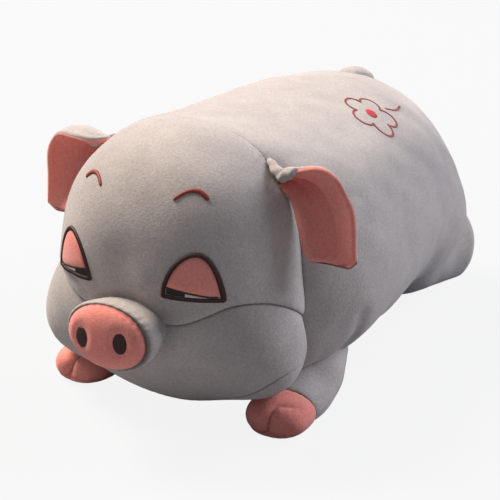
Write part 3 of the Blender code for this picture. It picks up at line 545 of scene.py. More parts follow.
def on_face(x, z):
    """The head's surface straight behind a place in a front view: y is found by halving."""
    def outside(y):
        way = np.stack([x, y, z], -1) - HEAD
        length = np.linalg.norm(way, axis=-1)
        return head_reach(way / length[..., None]) - length
    y = halve(outside, np.full_like(x, -0.300), np.full_like(x, HEAD[1] - 0.001))
    return np.stack([x, y, z], -1)


MUZZLE_RING = on_face(0.0350 * np.cos(turns), 0.0985 + 0.0245 * np.sin(turns))
CORNERS = np.array([(0.1116, -0.115, 0.086), (-0.1116, -0.115, 0.086)])
EAR_ROOTS = np.array([(0.0820, -0.115, 0.209), (-0.0820, -0.115, 0.209)])


def front_path(*places):
    """A smooth curve on the face through places (x, z) in a front view."""
    flat = smooth_path(places, 90)
    return on_face(flat[:, 0], flat[:, 1])


FACE_FOLDS = (
    (front_path((0.030, 0.130), (0.034, 0.122), (0.041, 0.114)), 0.0016, 0.011),
    (front_path((-0.030, 0.130), (-0.034, 0.122), (-0.041, 0.114)), 0.0016, 0.011),
    (front_path((-0.056, 0.1235), (-0.050, 0.119), (-0.043, 0.1125)), 0.0022, 0.006),
    (front_path((0.036, 0.127), (0.056, 0.124), (0.078, 0.124)), 0.0012, 0.010),
    (front_path((0.0, 0.150), (0.0, 0.140), (0.0, 0.132)), 0.0030, 0.020),
)


def at_neck(points):
    """What the head and the body share near the neck: the pull of the seam, of its corners and ears."""
    distance, along = near(points, NECK_SEAM)
    low = np.clip((0.225 - points[..., 2]) / 0.05, 0.35, 1)
    move = -0.0036 * low * roll(distance, 0.0130) + 0.00022 * pucker(distance, along, 0.006)
    for spots, depth, width in ((CORNERS, 0.0050, 0.014), (EAR_ROOTS, 0.0034, 0.013)):
        for spot in spots:
            far = np.linalg.norm(points - spot, axis=-1) / width
            move = move - depth * np.exp(-far * far)
    # The second value is painted shade along the neck seam's line, fainter high on the head.
    return move, 0.55 * low * np.exp(-((distance / 0.0010) ** 2))


def carve_head(points, jowl=False):
    """Moves the head's points in along the line from its middle: seams, folds, and uneven filling."""
    out = unit(points - HEAD)
    move, seam = at_neck(points)
    move = move + 0.0007 * lumps(points, 0.060, 3)
    wide = 0.0240 if jowl else 0.0090
    # dark is how much shade is painted along each seam's line, in the seam attribute.
    for curve, depth, width, dark in (
        (CREASE_LEFT, 0.0042, wide, 0.75),
        (CREASE_RIGHT, 0.0042, wide, 0.75),
        (CHIN_SEAM, 0.0010, 0.0060, 0.5),
    ):
        distance, along = near(points, curve)
        move -= depth * roll(distance, width)
        move += 0.00020 * pucker(distance, along, 0.005)
        seam = np.maximum(seam, dark * np.exp(-((distance / 0.0010) ** 2)))
    distance = near(points, MUZZLE_RING)[0]
    move -= 0.0036 * np.exp(-((distance / 0.0085) ** 2))
    for curve, depth, width in FACE_FOLDS:
        distance = near(points, curve)[0]
        move -= depth * np.exp(-((distance / width) ** 2))
    return above_floor(points + out * move[..., None]), seam


print("neck seam", len(NECK_SEAM), "points, chin seam", len(CHIN_SEAM))

# %% [markdown]
# ## The head's panels
# Real panels are cut flat and sewn, and the stuffing rounds them. Here each panel is a grid that
# ends exactly on its seams: its columns run across from one seam to the other, and its rows run back
# from the nose to the neck. That gives smooth seam edges that no cut through a mesh would give.


# %% Face, jowls and chin
def face_panel():
    """Rows from the nose to the neck, columns from the left crease over the crown to the right one."""
    share, v = np.meshgrid(np.linspace(0.02, 1, 120) ** 0.9, np.linspace(0, 1, 220), indexing="ij")
    edge = crease_angle(share[:, :1])
    return head_at(mix(edge, np.pi - edge, v), share)


def jowl_panel():
    """Rows from the nose to the chin seam or the neck, columns from crease to crease under the jowls."""
    s, v = np.meshgrid(np.linspace(0.02, 1, 110) ** 0.9, ACROSS, indexing="ij")
    share = s * CHIN_SHARE[None, :]
    return head_at(jowl_angle(v, share), share)


def chin_panel():
    """Rows from the chin seam back to the neck."""
    v = ACROSS[CHIN_SHARE < 0.999]
    s, v = np.meshgrid(np.linspace(0, 1, 40), np.linspace(v[0], v[-1], 200), indexing="ij")
    share = mix(chin_share(v), 1.0, s)
    return head_at(jowl_angle(v, share), share)


for name, grid, node in (
    ("face_cloth", face_panel(), "face_panel"),
    ("jowl_cloth", jowl_panel(), "jowl_panel"),
    ("chin_cloth", chin_panel(), "chin_panel"),
):
    points, seam = carve_head(grid, name != "face_cloth")
    piece = mesh_of(name, points, GREY, HEAD, values=seam)
    thicken(piece)
    settle_piece(piece, "trunk", "grey_velour", node, fill=0.9)

# %% [markdown]
# ## The body
# The body is a long loaf that narrows a little towards the rump, closes like a rounded box, and bulges
# at the haunches where the hind legs are sewn in. A station y along the body gives a ring, and an
# angle around the ring gives a point. Near the neck the ring is the neck's outline, and it swells
# quickly to the full loaf, which is what makes the deep crease behind the head.


# %% Body surface
def body_at(around, y):
    """A point of the loaf: width and height shrink by (1 - s^n)^(1/n) into the rump, s being the share."""
    along = (y + 0.115) / 0.373
    into = np.clip((y - 0.058) / 0.200, 0, 1)
    close = (1 - into**2.75) ** (1 / 2.75)
    half = mix(0.1530, 0.1200, along) * close
    rise = (mix(0.2385, 0.2235, along) - 0.1065) * close
    haunch = np.clip((y - 0.100) / 0.090, 0, 1)
    power = np.where(np.sin(around) > 0, 1.0, 1 - 0.42 * haunch * haunch * (3 - 2 * haunch))
    across, upward = rounded(np.cos(around), power), rounded(np.sin(around), power)
    z = 0.1065 + np.where(np.sin(around) > 0, rise, 0.1125 * close) * upward
    swell = np.sin(np.clip((y + 0.115) / 0.100, 0, 1) * np.pi / 2) ** 0.75
    way = np.stack([np.cos(around), np.zeros_like(around), np.sin(around)], -1)
    neck = HEAD + way * head_reach(way)[..., None]
    far = np.hypot(y - 0.196, z - 0.075) / 0.055
    bulge = 0.016 * np.exp(-far * far) * np.cos(around) * np.clip(close * 3, 0, 1)
    x = mix(neck[..., 0], half * across, swell) + 0.86 * bulge
    return np.stack([x, y + 0.51 * np.abs(bulge), mix(neck[..., 2], z, swell)], -1)


def body_out(points):
    """Outwards from the body: away from the nearest place on a line through its middle."""
    y = points[..., 1]
    middle_z = mix(0.1305, 0.1065, np.clip((y + 0.115) / 0.1, 0, 1))
    middle = np.stack([np.zeros_like(y), np.clip(y, -0.115, 0.14), middle_z], -1)
    return unit(points - middle)


def belly_angle(y):
    """The angle where a ring meets the belly seam, 30 mm over the floor, or its lowest point."""
    return halve(lambda a: body_at(a, y)[..., 2] - 0.030, np.full_like(y, -np.pi / 2), np.zeros_like(y))


BELLY_END = 0.058 + 0.200 * (1 - (0.0765 / 0.1125) ** 2.75) ** (1 / 2.75)
seam_rows = mix(-0.115, BELLY_END, np.sin(np.linspace(0, np.pi / 2, 110)))
BELLY_LEFT = body_at(belly_angle(seam_rows), seam_rows)
BELLY_RIGHT = BELLY_LEFT * np.array([-1.0, 1.0, 1.0])
BODY_FOLDS = (
    (smooth_path([(0.132, -0.066, 0.080), (0.126, -0.060, 0.055), (0.119, -0.060, 0.042)]), 0.0026, 0.008),
    (smooth_path([(-0.132, -0.066, 0.080), (-0.126, -0.060, 0.055), (-0.119, -0.060, 0.042)]), 0.0026, 0.008),
    (smooth_path([(0.100, -0.108, 0.200), (0.118, -0.080, 0.192), (0.124, -0.050, 0.178)]), 0.0016, 0.007),
    (smooth_path([(-0.100, -0.108, 0.200), (-0.118, -0.080, 0.192), (-0.124, -0.050, 0.178)]), 0.0016, 0.007),
)


def carve_body(points):
    """Moves the body's points along body_out: seams, folds, and uneven filling."""
    move = 0.0011 * lumps(points, 0.085, 11) + 0.0005 * lumps(points, 0.035, 5)
    fade = np.clip((points[..., 1] + 0.115) / 0.02, 0, 1)
    move = move * fade + 0.0007 * lumps(points, 0.060, 3) * (1 - fade)
    pull, seam = at_neck(points)
    move = move + pull
    for curve in (BELLY_LEFT, BELLY_RIGHT):
        distance, along = near(points, curve)
        move -= 0.0014 * roll(distance, 0.0070)
        move += 0.00025 * pucker(distance, along, 0.008)
        # Painted shade along the belly seam's line.
        seam = np.maximum(seam, np.exp(-((distance / 0.0012) ** 2)))
    for curve, depth, width in BODY_FOLDS:
        distance = near(points, curve)[0]
        move -= depth * np.exp(-((distance / width) ** 2))
    return above_floor(points + body_out(points) * move[..., None]), seam


front_rows = -0.115 + 0.173 * np.linspace(0, 1, 70) ** 1.7
rump_rows = 0.058 + 0.200 * np.sin(np.linspace(0.01, np.pi / 2, 80)) ** (2 / 2.75)
back_rows = np.unique(np.round(np.concatenate([front_rows, rump_rows, [BELLY_END]]), 6))
y, v = np.meshgrid(back_rows, np.linspace(0, 1, 240), indexing="ij")
edge = belly_angle(y[:, :1])
points, seam = carve_body(body_at(mix(edge, np.pi - edge, v), y))
back_cloth = mesh_of("back_cloth", points, GREY, (0, 0.05, 0.11), values=seam)
thicken(back_cloth)
settle_piece(back_cloth, "trunk", "grey_velour", "back_panel", fill=0.9)
y, v = np.meshgrid(seam_rows, np.linspace(0, 1, 120), indexing="ij")
edge = belly_angle(y[:, :1])
points, seam = carve_body(body_at(mix(edge, -np.pi - edge, v), y))
belly_cloth = mesh_of("belly_cloth", points, GREY, (0, 0.05, 0.11), values=seam)
thicken(belly_cloth)
settle_piece(belly_cloth, "trunk", "grey_velour", "belly_panel", fill=0.9)

# %% [markdown]
# ## Filling
# Under the cloth the toy is full of loose fibre. Nobody sees it, but it is a real piece, and it is
# what a cut-open view shows. Each core has the form of the cloth around it, a few millimetres
# smaller, and ends at the neck, so the head's filling and the body's are two pieces.

# %% Cores
around, share = rings(120, np.linspace(0, 1, 60))
skin = head_at(around, share)
core = HEAD + (skin - HEAD) * (1 - 0.0095 / np.linalg.norm(skin - HEAD, axis=-1))[..., None]
core[..., 1] -= 0.001
core = np.concatenate([core, np.broadcast_to(HEAD + (0, -0.001, 0), (1, 120, 3))])
core[..., 2] = np.maximum(core[..., 2], 0.004)
head_core = mesh_of("head_core", core, FIBRE, HEAD + (0, -0.03, 0), around=True)
settle_piece(head_core, "trunk", "fibre_filling", "head_filling", fill=0.9)
around, y = rings(120, back_rows[::2])
skin = body_at(around, y)
core = skin - body_out(skin) * 0.0095
core[..., 1] += 0.001 * (1 - np.clip((y + 0.115) / 0.1, 0, 1))
core = capped(core)
core[..., 2] = np.maximum(core[..., 2], 0.004)
body_core = mesh_of("body_core", core, FIBRE, (0, 0.05, 0.11), around=True)
settle_piece(body_core, "trunk", "fibre_filling", "body_filling", fill=0.9)

# %% [markdown]
# ## The snout
# A grey band stands out from the face as a short, plump tube, and a domed pink pad closes it. Both
# are rings around the snout's axis. The band swells between its two seams like a small cushion. The
# pad is nearly flat in the middle and turns back sharply at its rim, down into the seam.


# %% Muzzle band and pad
SNOUT_Z = 0.0985
RIM_Y = -0.2400
PAD_WIDE, PAD_TALL = 0.0358, 0.0264


def band_at(around, share):
    """From the rim back into the face: ellipses that narrow, plus a bulge, the sine of pi x root(share)."""
    plump = np.sin(np.pi * np.sqrt(np.clip(share, 0, 1))) ** 0.8
    wave = 0.00030 * np.sin(around * 31) * np.exp(-share * 9) * np.clip(share * 20, 0, 1)
    wide = mix(0.0358, 0.0290, share) + 0.0062 * plump + wave
    over = np.clip(np.sin(around), 0, 1)
    tall = mix(0.0264, 0.0180, share) + (0.0042 - 0.0022 * over) * plump + wave
    y = RIM_Y + 0.042 * share
    return np.stack([wide * np.cos(around), y, SNOUT_Z + tall * np.sin(around)], -1)


def pad_depth(x, z):
    """How far the pad stands in front of its rim: (1 - r^n)^m, with a dent around each nostril."""
    radius = np.clip(np.hypot(x / PAD_WIDE, (z - SNOUT_Z) / PAD_TALL), 0, 1)
    dome = 0.0125 * (1 - radius**2.7) ** 0.52
    dent = 0.0
    for side in (1, -1):
        far = np.hypot((x - side * 0.0175) / 0.0085, (z - 0.1005) / 0.0115)
        dent = dent + 0.0021 * np.exp(-(far**4))
    return dome - dent


around, share = rings(240, np.linspace(0, 1, 70))
points = band_at(around, share)
# Painted shade along the band's seam with the pad.
seam = np.exp(-((share * 0.042 / 0.0012) ** 2))
muzzle = mesh_of("muzzle_cloth", points, GREY, (0, -0.22, SNOUT_Z), around=True, values=seam)
thicken(muzzle)
settle_piece(muzzle, "trunk", "grey_velour", "muzzle_band", fill=0.9)
radius = np.sin(np.linspace(0, np.pi / 2, 70))
around, radius = rings(240, radius)
x, z = PAD_WIDE * radius * np.cos(around), SNOUT_Z + PAD_TALL * radius * np.sin(around)
points = np.stack([x, RIM_Y - 0.0003 - pad_depth(x, z), z], -1)
points[..., 1] += 0.0004 * np.sin(around * 29) * np.clip(radius - 0.9, 0, 1) * 8
# Painted shade in a thin ring at the pad's rim, down in its seam.
seam = np.exp(-(((1 - radius) / 0.012) ** 2))
pad = mesh_of("snout_pad_cloth", points, PINK, (0, -0.22, SNOUT_Z), around=True, values=seam)
thicken(pad)
settle_piece(pad, "trunk", "pink_velour", "snout_pad", fill=0.9)
around, share = rings(96, np.linspace(0, 1, 30))
tube = band_at(around, share)
axis = np.stack([np.zeros_like(around), tube[..., 1], np.full_like(around, SNOUT_Z)], -1)
tube = axis + (tube - axis) * 0.88
radius = np.linspace(0, 1, 16)[:, None]
x = 0.031 * radius * np.cos(around[:1])
z = SNOUT_Z + 0.0225 * radius * np.sin(around[:1])
nose = np.stack([x, RIM_Y + 0.0035 - pad_depth(x, z), z], -1)
end = np.broadcast_to(axis[-1:, :1], (1, 96, 3))
core = np.concatenate([nose, tube[2:], end])
snout_core = mesh_of("snout_core", core, FIBRE, (0, -0.22, SNOUT_Z), around=True)
settle_piece(snout_core, "trunk", "fibre_filling", "snout_filling", fill=0.9)

# %% [markdown]
# ## Satin stitch
# A satin-stitched line is a low ridge of thread. The stitches lie across the line, side by side and
# slightly slanted, so the ridge has fine ribs. The maker below carries a low arch along a path that
# is drawn flat and then laid on the cloth. A filled shape is the same, with the stitches running
# from its lower edge to its upper edge.


# %% Stitch makers
def even(path, step, closed=False):
    """The same path with points a fixed step apart, by its length along."""
    path = np.asarray(path, float)
    if closed:
        path = np.concatenate([path, path[:1]])
    run = np.concatenate([[0], np.cumsum(np.linalg.norm(np.diff(path, axis=0), axis=1))])
    places = np.linspace(0, run[-1], max(8, int(run[-1] / step)))
    return np.stack([np.interp(places, run, path[:, k]) for k in range(2)], 1), places


def raised(lay, flat, height):
    """Points over the cloth: the flat place laid on the surface, moved out along the surface's normal.

    The normal is the cross product of the surface's slopes along the drawing's two directions.
    """
    step = 0.0004
    a, b = flat[..., 0], flat[..., 1]
    spot = lay(a, b)
    slope_a = lay(a + step, b) - lay(a - step, b)
    slope_b = lay(a, b + step) - lay(a, b - step)
    normal = unit(np.cross(slope_a, slope_b))
    return spot + normal * height[..., None]


def stitched_line(name, lay, path, width, finish, closed=False, taper=False, tall=0.0010, rib=0.00016):
    """A low arch along a path. Height is tall x root(1 - c^2) plus ribs, c being the place across."""
    flat, run = even(path, 0.00024, closed)
    ahead = np.gradient(flat, axis=0)
    if closed:
        ahead[0] = ahead[-1] = flat[1] - flat[-2]
    aside = unit(np.stack([-ahead[:, 1], ahead[:, 0]], 1))
    turn = np.linspace(0, np.pi, 9)
    over = np.concatenate([np.cos(turn), np.cos(turn[-2:0:-3])])
    lift = np.concatenate([np.sin(turn) ** 0.8, -0.5 + 0 * turn[-2:0:-3]])
    size = np.ones(len(run))
    if taper:
        ends = np.minimum(run, run[-1] - run) / (width * 0.6)
        size = np.sqrt(np.clip(ends, 0.02, 1))
    c, s = np.meshgrid(over, size)
    away = np.meshgrid(lift, run)
    ribs = np.cos(2 * np.pi * (away[1] / 0.00078 + 0.7 * c))
    height = tall * s * away[0] + rib * ribs * (away[0] > 0.05)
    across = (c * width / 2 * s)[..., None] * aside[:, None, :] * (1 + 0.03 * ribs[..., None])
    points = raised(lay, flat[:, None, :] + across, height)
    if not closed:
        points = capped(points)
        run = np.concatenate([run[:1], run, run[-1:]])
        c = np.concatenate([c[:1], c, c[-1:]])
    else:
        points[-1] = points[0]
    uv = np.stack([np.broadcast_to(run[:, None], c.shape), c * width / 2], -1)
    inside = points.mean((0, 1)) - lay.out * 0.5
    return mesh_of(name, points, finish, inside, around=True, flat=uv)


def stitched_fill(name, lay, low, high, finish, tall=0.0009, rib=0.00014):
    """A filled shape between a lower and an upper edge, both running the same way along it."""
    low, high = np.asarray(low, float), np.asarray(high, float)
    count = max(12, int(np.linalg.norm(np.diff(low, axis=0), axis=1).sum() / 0.0002))
    t = np.linspace(0, len(low) - 1, count)
    low = np.stack([np.interp(t, np.arange(len(low)), low[:, k]) for k in range(2)], 1)
    high = np.stack([np.interp(t, np.arange(len(high)), high[:, k]) for k in range(2)], 1)
    v = np.concatenate([np.linspace(0, 1, 13), np.linspace(1, 0, 4)[1:-1]])
    lift = np.concatenate([np.sin(np.linspace(0, np.pi, 13)) ** 0.45, [-0.5, -0.5]])
    run = np.concatenate([[0], np.cumsum(np.linalg.norm(np.diff((low + high) / 2, axis=0), axis=1))])
    vv, rr = np.meshgrid(v, run)
    ll = np.meshgrid(lift, run)[0]
    flat = mix(low[:, None, :], high[:, None, :], vv[..., None])
    ribs = np.cos(2 * np.pi * (rr / 0.00075 + 0.4 * vv))
    ease = np.clip(np.minimum(rr, run[-1] - rr) / 0.0008, 0.1, 1)
    height = tall * ll * ease + rib * ribs * (ll > 0.05)
    points = capped(raised(lay, flat, height))
    uv = np.stack([rr, vv * 0.01], -1)
    uv = np.concatenate([uv[:1], uv, uv[-1:]])
    inside = points.mean((0, 1)) - lay.out * 0.5
    return mesh_of(name, points, finish, inside, around=True, flat=uv)


class Lay:
    """Lays a flat drawing on a surface, by a function of its two directions. out is roughly outwards."""

    def __init__(self, function, out):
        self.function = function
        self.out = np.array(out, float)

    def __call__(self, a, b):
        return self.function(a, b)


FACE = Lay(lambda x, z: carve_head(on_face(x, z))[0], (0, -1, 0))
PAD = Lay(lambda x, z: np.stack([x, RIM_Y - 0.0003 - pad_depth(x, z), z], -1), (0, -1, 0))
print("stitch makers ready")

# %% [markdown]
# ## Sleepy eyes
# Each eye is an arch of dark satin stitch over a straight lower line. A pink velour lid fills most of
# it, and in the slit under the lid there are a black pupil on the nose's side and a white wedge
# that runs out to the outer corner. All of it is drawn flat, as seen from the front, and laid on the
# face. The drawing of the right eye is the left one mirrored.


# %% Eyes
INNER, OUTER = np.array([0.0350, 0.1290]), np.array([0.0770, 0.1265])
EYE_HALF = np.linalg.norm(OUTER - INNER) / 2


def eye_place(across, rise):
    """A place by its share across the eye, from -1 to 1, and its height over the corners."""
    run = (OUTER - INNER) / 2
    upward = np.array([-run[1], run[0]]) / np.linalg.norm(run)
    across, rise = np.asarray(across, float), np.asarray(rise, float)
    return (INNER + OUTER) / 2 + across[..., None] * run + rise[..., None] * upward


def arch_height(across, inset):
    """Height of the arch: (1 - a^2) to a power that is larger, so steeper, towards the outer corner."""
    share = np.clip(1 - across**2, 0, 1)
    return inset + (0.0385 - 2 * inset) * share ** (0.66 + 0.14 * across)


def lid_edge(across):
    """Height of the lid's lower edge: the slit under it narrows towards the outer corner."""
    return 0.0042 + 0.0058 * np.clip(1 - (across + 1) / 1.55, 0, 1)


def mirror(flat, side):
    return flat * np.array([side, 1.0])


def lid_cloth(side):
    """The lid: columns across, rows from its lower edge up to the arch, and a soft bulge over both."""
    inset = 0.0022
    narrow = 1 - 0.0020 / EYE_HALF
    across = np.cos(np.linspace(np.pi - 0.06, 0.06, 90)) * narrow
    top = arch_height(across / narrow, inset)
    low = np.minimum(lid_edge(across) - 0.0004, top)
    v, a = np.meshgrid(np.linspace(0, 1, 60), across, indexing="ij")
    rise = mix(low[None, :], top[None, :], v)
    edge = np.minimum(np.minimum(v * (top - low), (1 - v) * (top - low)), (narrow - np.abs(a)) * EYE_HALF * 1.4)
    puff = 0.0019 * (1 - roll(edge, 0.0075)) - 0.0004
    flat = mirror(eye_place(a, rise), side)
    # The second value is painted shade along the lid's edge.
    return raised(FACE, flat, puff), np.exp(-((edge / 0.0010) ** 2))


for side, label in SIDES:
    turn = np.linspace(0.0, np.pi, 400)
    arch = eye_place(np.cos(turn), arch_height(np.cos(turn), 0.0014))
    base = eye_place(np.linspace(-0.995, 0.995, 40), np.full(40, 0.0014))
    outline = mirror(np.concatenate([arch, base]), side)
    line = stitched_line(f"eye_line_thread_{label}", FACE, outline, 0.0034, DARK, closed=True, tall=0.0017)
    settle_piece(line, "trunk", "dark_thread", f"eye_line_{label}")
    points, seam = lid_cloth(side)
    lid = mesh_of(f"eyelid_cloth_{label}", points, PINK, points.mean((0, 1)) + (0, 0.5, 0), values=seam)
    thicken(lid, 0.0008)
    settle_piece(lid, "trunk", "pink_velour", f"eyelid_{label}")
    flat, area = cut_size(points, 0)
    places = np.linspace(-0.88, -0.22, 40)
    low = mirror(eye_place(places, 0.0034 + 0 * places), side)
    high = mirror(eye_place(places, lid_edge(places) + 0.0002), side)
    pupil = stitched_fill(f"pupil_thread_{label}", FACE, low, high, BLACK)
    settle_piece(pupil, "trunk", "black_thread", f"pupil_{label}")
    places = np.linspace(-0.20, 0.62, 40)
    low = mirror(eye_place(places, 0.0034 + 0 * places), side)
    high = mirror(eye_place(places, lid_edge(places) - 0.0004), side)
    white = stitched_fill(f"eye_white_thread_{label}", FACE, low, high, WHITE)
    settle_piece(white, "trunk", "white_thread", f"eye_white_{label}")
    places = np.linspace(-0.90, 0.84, 60)
    rim = mirror(eye_place(places, lid_edge(places) + 0.0002), side)
    rim = stitched_line(f"lid_line_{label}", FACE, rim, 0.0017, DARK, taper=True, tall=0.0012)
    settle_piece(rim, "trunk", "dark_thread")

# %% [markdown]
# ## Brows and nostrils
# The brows are short arcs of reddish thread high on the forehead. The nostrils are upright ovals of
# dark stitches in the dents of the pad.

# %% Brows and nostrils
for side, label in SIDES:
    across = np.linspace(-1, 1, 60)
    arc = np.stack([0.0455 + 0.0118 * across, 0.2090 - 0.0064 * across**2], 1)
    brow = stitched_line(f"brow_thread_{label}", FACE, mirror(arc, side), 0.0026, BROW, taper=True, tall=0.0013)
    settle_piece(brow, "trunk", "brow_thread", f"brow_{label}")
    turn = np.linspace(0.001, np.pi - 0.001, 60)
    middle = np.array([0.0178, 0.0990 + 0.0010 * side])
    rise = middle[1] - 0.0086 * np.cos(turn)
    half = 0.0059 * np.sin(turn)
    low = mirror(np.stack([middle[0] - half, rise], 1), side)
    high = mirror(np.stack([middle[0] + half, rise], 1), side)
    nostril = stitched_fill(f"nostril_thread_{label}", PAD, low, high, DARK, tall=0.0006)
    settle_piece(nostril, "trunk", "dark_thread", f"nostril_{label}")

# %% [markdown]
# ## The flower on the hip
# High on the left hip there is a small outline in thread: a flower with five lobes, a bent stem, and a
# red middle. It is drawn in a flat frame that touches the hip, with one axis forwards and the other
# towards the ridge of the back.


# %% Hip embroidery
def on_back(x, y):
    """The top of the body over a place in a plan view: the angle around the ring is found by halving."""
    angle = halve(lambda a: x - body_at(a, y)[..., 0], np.full_like(x, 0.02), np.full_like(x, np.pi - 0.02))
    return body_at(angle, y)


def hip_place(along, upward):
    """The hip's flat frame as a plan: forwards is -Y, and upwards is -X, shortened by the hip's slope."""
    return carve_body(on_back(0.0760 - 0.86 * upward, 0.0800 - along))[0]


HIP = Lay(hip_place, (0.5, 0, 0.85))
turn = np.linspace(0, 2 * np.pi, 300)[:-1]
reach = 0.0165 + 0.0110 * np.abs(np.cos(2.5 * turn)) ** 0.7
petals = np.stack([0.007 + reach * np.cos(turn), 0.002 + reach * np.sin(turn)], 1)
flower = stitched_line("hip_flower_thread", HIP, petals, 0.0021, BROW, closed=True, tall=0.0008)
settle_piece(flower, "trunk", "dark_thread", "hip_flower")
share = np.linspace(0, 1, 60)
stem = np.stack([-0.0215 - 0.034 * share, 0.002 - 0.004 * np.sin(np.pi * share)], 1)
stem = stitched_line("hip_stem_thread", HIP, stem, 0.0021, BROW, taper=True, tall=0.0008)
settle_piece(stem, "trunk", "dark_thread", "hip_stem")
turn = np.linspace(0.001, np.pi - 0.001, 60)
low = np.stack([0.007 - 0.0062 * np.cos(turn), 0.002 - 0.0062 * np.sin(turn)], 1)
high = np.stack([0.007 - 0.0062 * np.cos(turn), 0.002 + 0.0062 * np.sin(turn)], 1)
berry = stitched_fill("hip_berry_thread", HIP, low, high, RED)
settle_piece(berry, "trunk", "red_thread", "hip_berry")

# %% [markdown]
# ## Ears
# Each ear is two plies, grey behind and pink in front, sewn together around the rim and turned right
# side out. It is sewn into the neck seam folded, so it cups forwards and its top edge curls over. The
# ear's middle sheet is a smooth surface through a few listed rows. The two plies stand off it to
# either side, and meet at the rim.

# %% Ear rows
# Rows from the root to the tip, each from the inner edge to the outer: outwards, forwards, downwards,
# as shares of the ear's reach, cup and fall.
EAR = np.array([
    [(0.05, 0.05, 0.17), (-0.02, -0.10, 0.10), (-0.08, -0.15, 0.02), (-0.15, -0.10, -0.06), (-0.22, 0.00, -0.14)],
    [(0.04, 0.20, 0.18), (0.05, -0.25, 0.08), (0.08, -0.40, -0.02), (0.10, 0.00, -0.13), (0.05, 0.55, -0.10)],
    [(0.18, 0.25, 0.30), (0.26, -0.40, 0.16), (0.33, -0.65, 0.00), (0.38, -0.20, -0.15), (0.36, 0.70, -0.12)],
    [(0.29, 0.45, 0.50), (0.42, -0.25, 0.33), (0.57, -0.62, 0.12), (0.70, -0.22, -0.07), (0.74, 0.42, -0.09)],
    [(0.37, 0.58, 0.67), (0.53, -0.12, 0.56), (0.73, -0.50, 0.41), (0.92, -0.28, 0.24), (0.99, 0.18, 0.17)],
    [(0.43, 0.62, 0.84), (0.59, 0.02, 0.81), (0.78, -0.33, 0.73), (0.98, -0.25, 0.61), (1.06, 0.02, 0.55)],
    [(0.52, 0.55, 0.95), (0.67, 0.15, 0.99), (0.83, -0.08, 1.03), (0.99, -0.13, 1.03), (1.10, -0.02, 0.94)],
])


HINGE = np.array([0.0860, -0.1170, 0.2090])
# The left ear's top edge doesn't curl over, so its two outer columns have places of their own.
LEFT_OUTER = np.array([
    [(-0.08, -0.20, 0.02), (-0.10, -0.15, -0.02)],
    [(0.11, -0.20, -0.05), (0.14, 0.05, -0.08)],
    [(0.42, -0.25, -0.03), (0.54, 0.15, -0.19)],
    [(0.62, -0.30, 0.09), (0.79, 0.10, -0.10)],
    [(0.76, -0.30, 0.31), (0.95, 0.05, 0.11)],
    [(0.88, -0.25, 0.60), (1.07, 0.02, 0.37)],
])
# The bunched cloth at the left ear's root runs down from the neck seam and up to the ear's top edge.
ROOT_FOLD = [(0.0695, -0.1110, 0.2185), (0.0800, -0.1185, 0.2145), (0.0895, -0.1240, 0.2110),
             (0.0960, -0.1255, 0.2135), (0.1020, -0.1215, 0.2185)]


# %% Ears
def smooth_grid(rows, down, across):
    """A smooth sheet through rows of points: a Catmull-Rom curve down each column, then across."""
    columns = np.stack([smooth_path(rows[:, k], down) for k in range(rows.shape[1])], 1)
    return np.stack([smooth_path(row, across) for row in columns])


def ear_sheet(side, down=60, across=60):
    reach, drop = {1: (0.0605, 0.0), -1: (0.0570, 0.0020)}[side]
    shares = EAR.copy()
    if side > 0:
        shares[:6, 3:5] = LEFT_OUTER
    rows = shares * np.array([reach, -0.0200, -0.0670]) + (HINGE - (0, 0, drop))
    return smooth_grid(rows * np.array([side, 1, 1]), down, across)


def ply(sheet, facing, thick, gap, reach=0.0):
    """One ply as a closed form: an outer face that bulges off the sheet, and an inner face near it."""
    normal = unit(np.cross(np.gradient(sheet, axis=0), np.gradient(sheet, axis=1)))
    if (normal[..., 1].sum() > 0) == (facing > 0):
        normal = -normal
    count = sheet.shape
    u, v = np.meshgrid(np.linspace(0, 1, count[0]), np.linspace(0, 1, count[1]), indexing="ij")
    edge = np.minimum(np.minimum(v, 1 - v) * 0.055, (1 - u) * 0.080)
    full = 1 - roll(edge, 0.0045)
    wrinkle = 0.0006 * np.sin(v * 38 + 6 * u) * np.exp(-u * 7) * np.clip(u * 10, 0, 1)
    rim = unit(np.gradient(sheet, axis=1)) * (np.clip(v * 12 - 11, 0, 1) * reach)[..., None]
    fold = 0.0011 * np.sin(np.pi * u) * np.sin(v * 9.5 + 1.4 * u + 0.8) * np.clip(edge / 0.006, 0, 1)
    outer = sheet + normal * (gap + thick * full + wrinkle + fold)[..., None] + rim
    inner = sheet + normal * (gap * full)[..., None]
    # Painted shade: a line along the rim, and the shade of the cup, darkest at the inner edge near the root and
    # fading towards the tip.
    dark = np.maximum(0.22 * np.exp(-((edge / 0.0010) ** 2)), 0.42 * np.exp(-((v / 0.42) ** 2)) * (1 - 0.7 * u))
    return np.concatenate([outer, inner[:, ::-1]], 1), dark


def ear_bend(side, before, after):
    """Places square to an ear's hinge, so far before and after it."""
    away = np.array([0.86, 0.0, 0.51])
    return [((HINGE + away * length) * np.array([side, 1, 1])).tolist() for length in (-before, after)]


def ear_gather(side):
    """The bunched cloth at an ear's root: a soft roll along a bent path, with shallow folds across it."""
    path = smooth_path(ROOT_FOLD, 90)
    ahead = unit(np.gradient(path, axis=0))
    aside = unit(np.cross(ahead, (0.0, -1.0, 0.0)))
    out = np.cross(aside, ahead)
    around, share = rings(48, np.linspace(0, 1, 90))
    fold = 1 + 0.11 * np.sin(share * 24 + 1.9 * np.sin(around))
    thick = {1: 0.0047, -1: 0.0032}[side] * np.sin(np.pi * share) ** 0.42 * fold
    a, b = thick * np.cos(around), thick * np.sin(around)
    points = path[:, None] + a[..., None] * out[:, None] + b[..., None] * aside[:, None]
    return points * np.array([side, 1, 1])


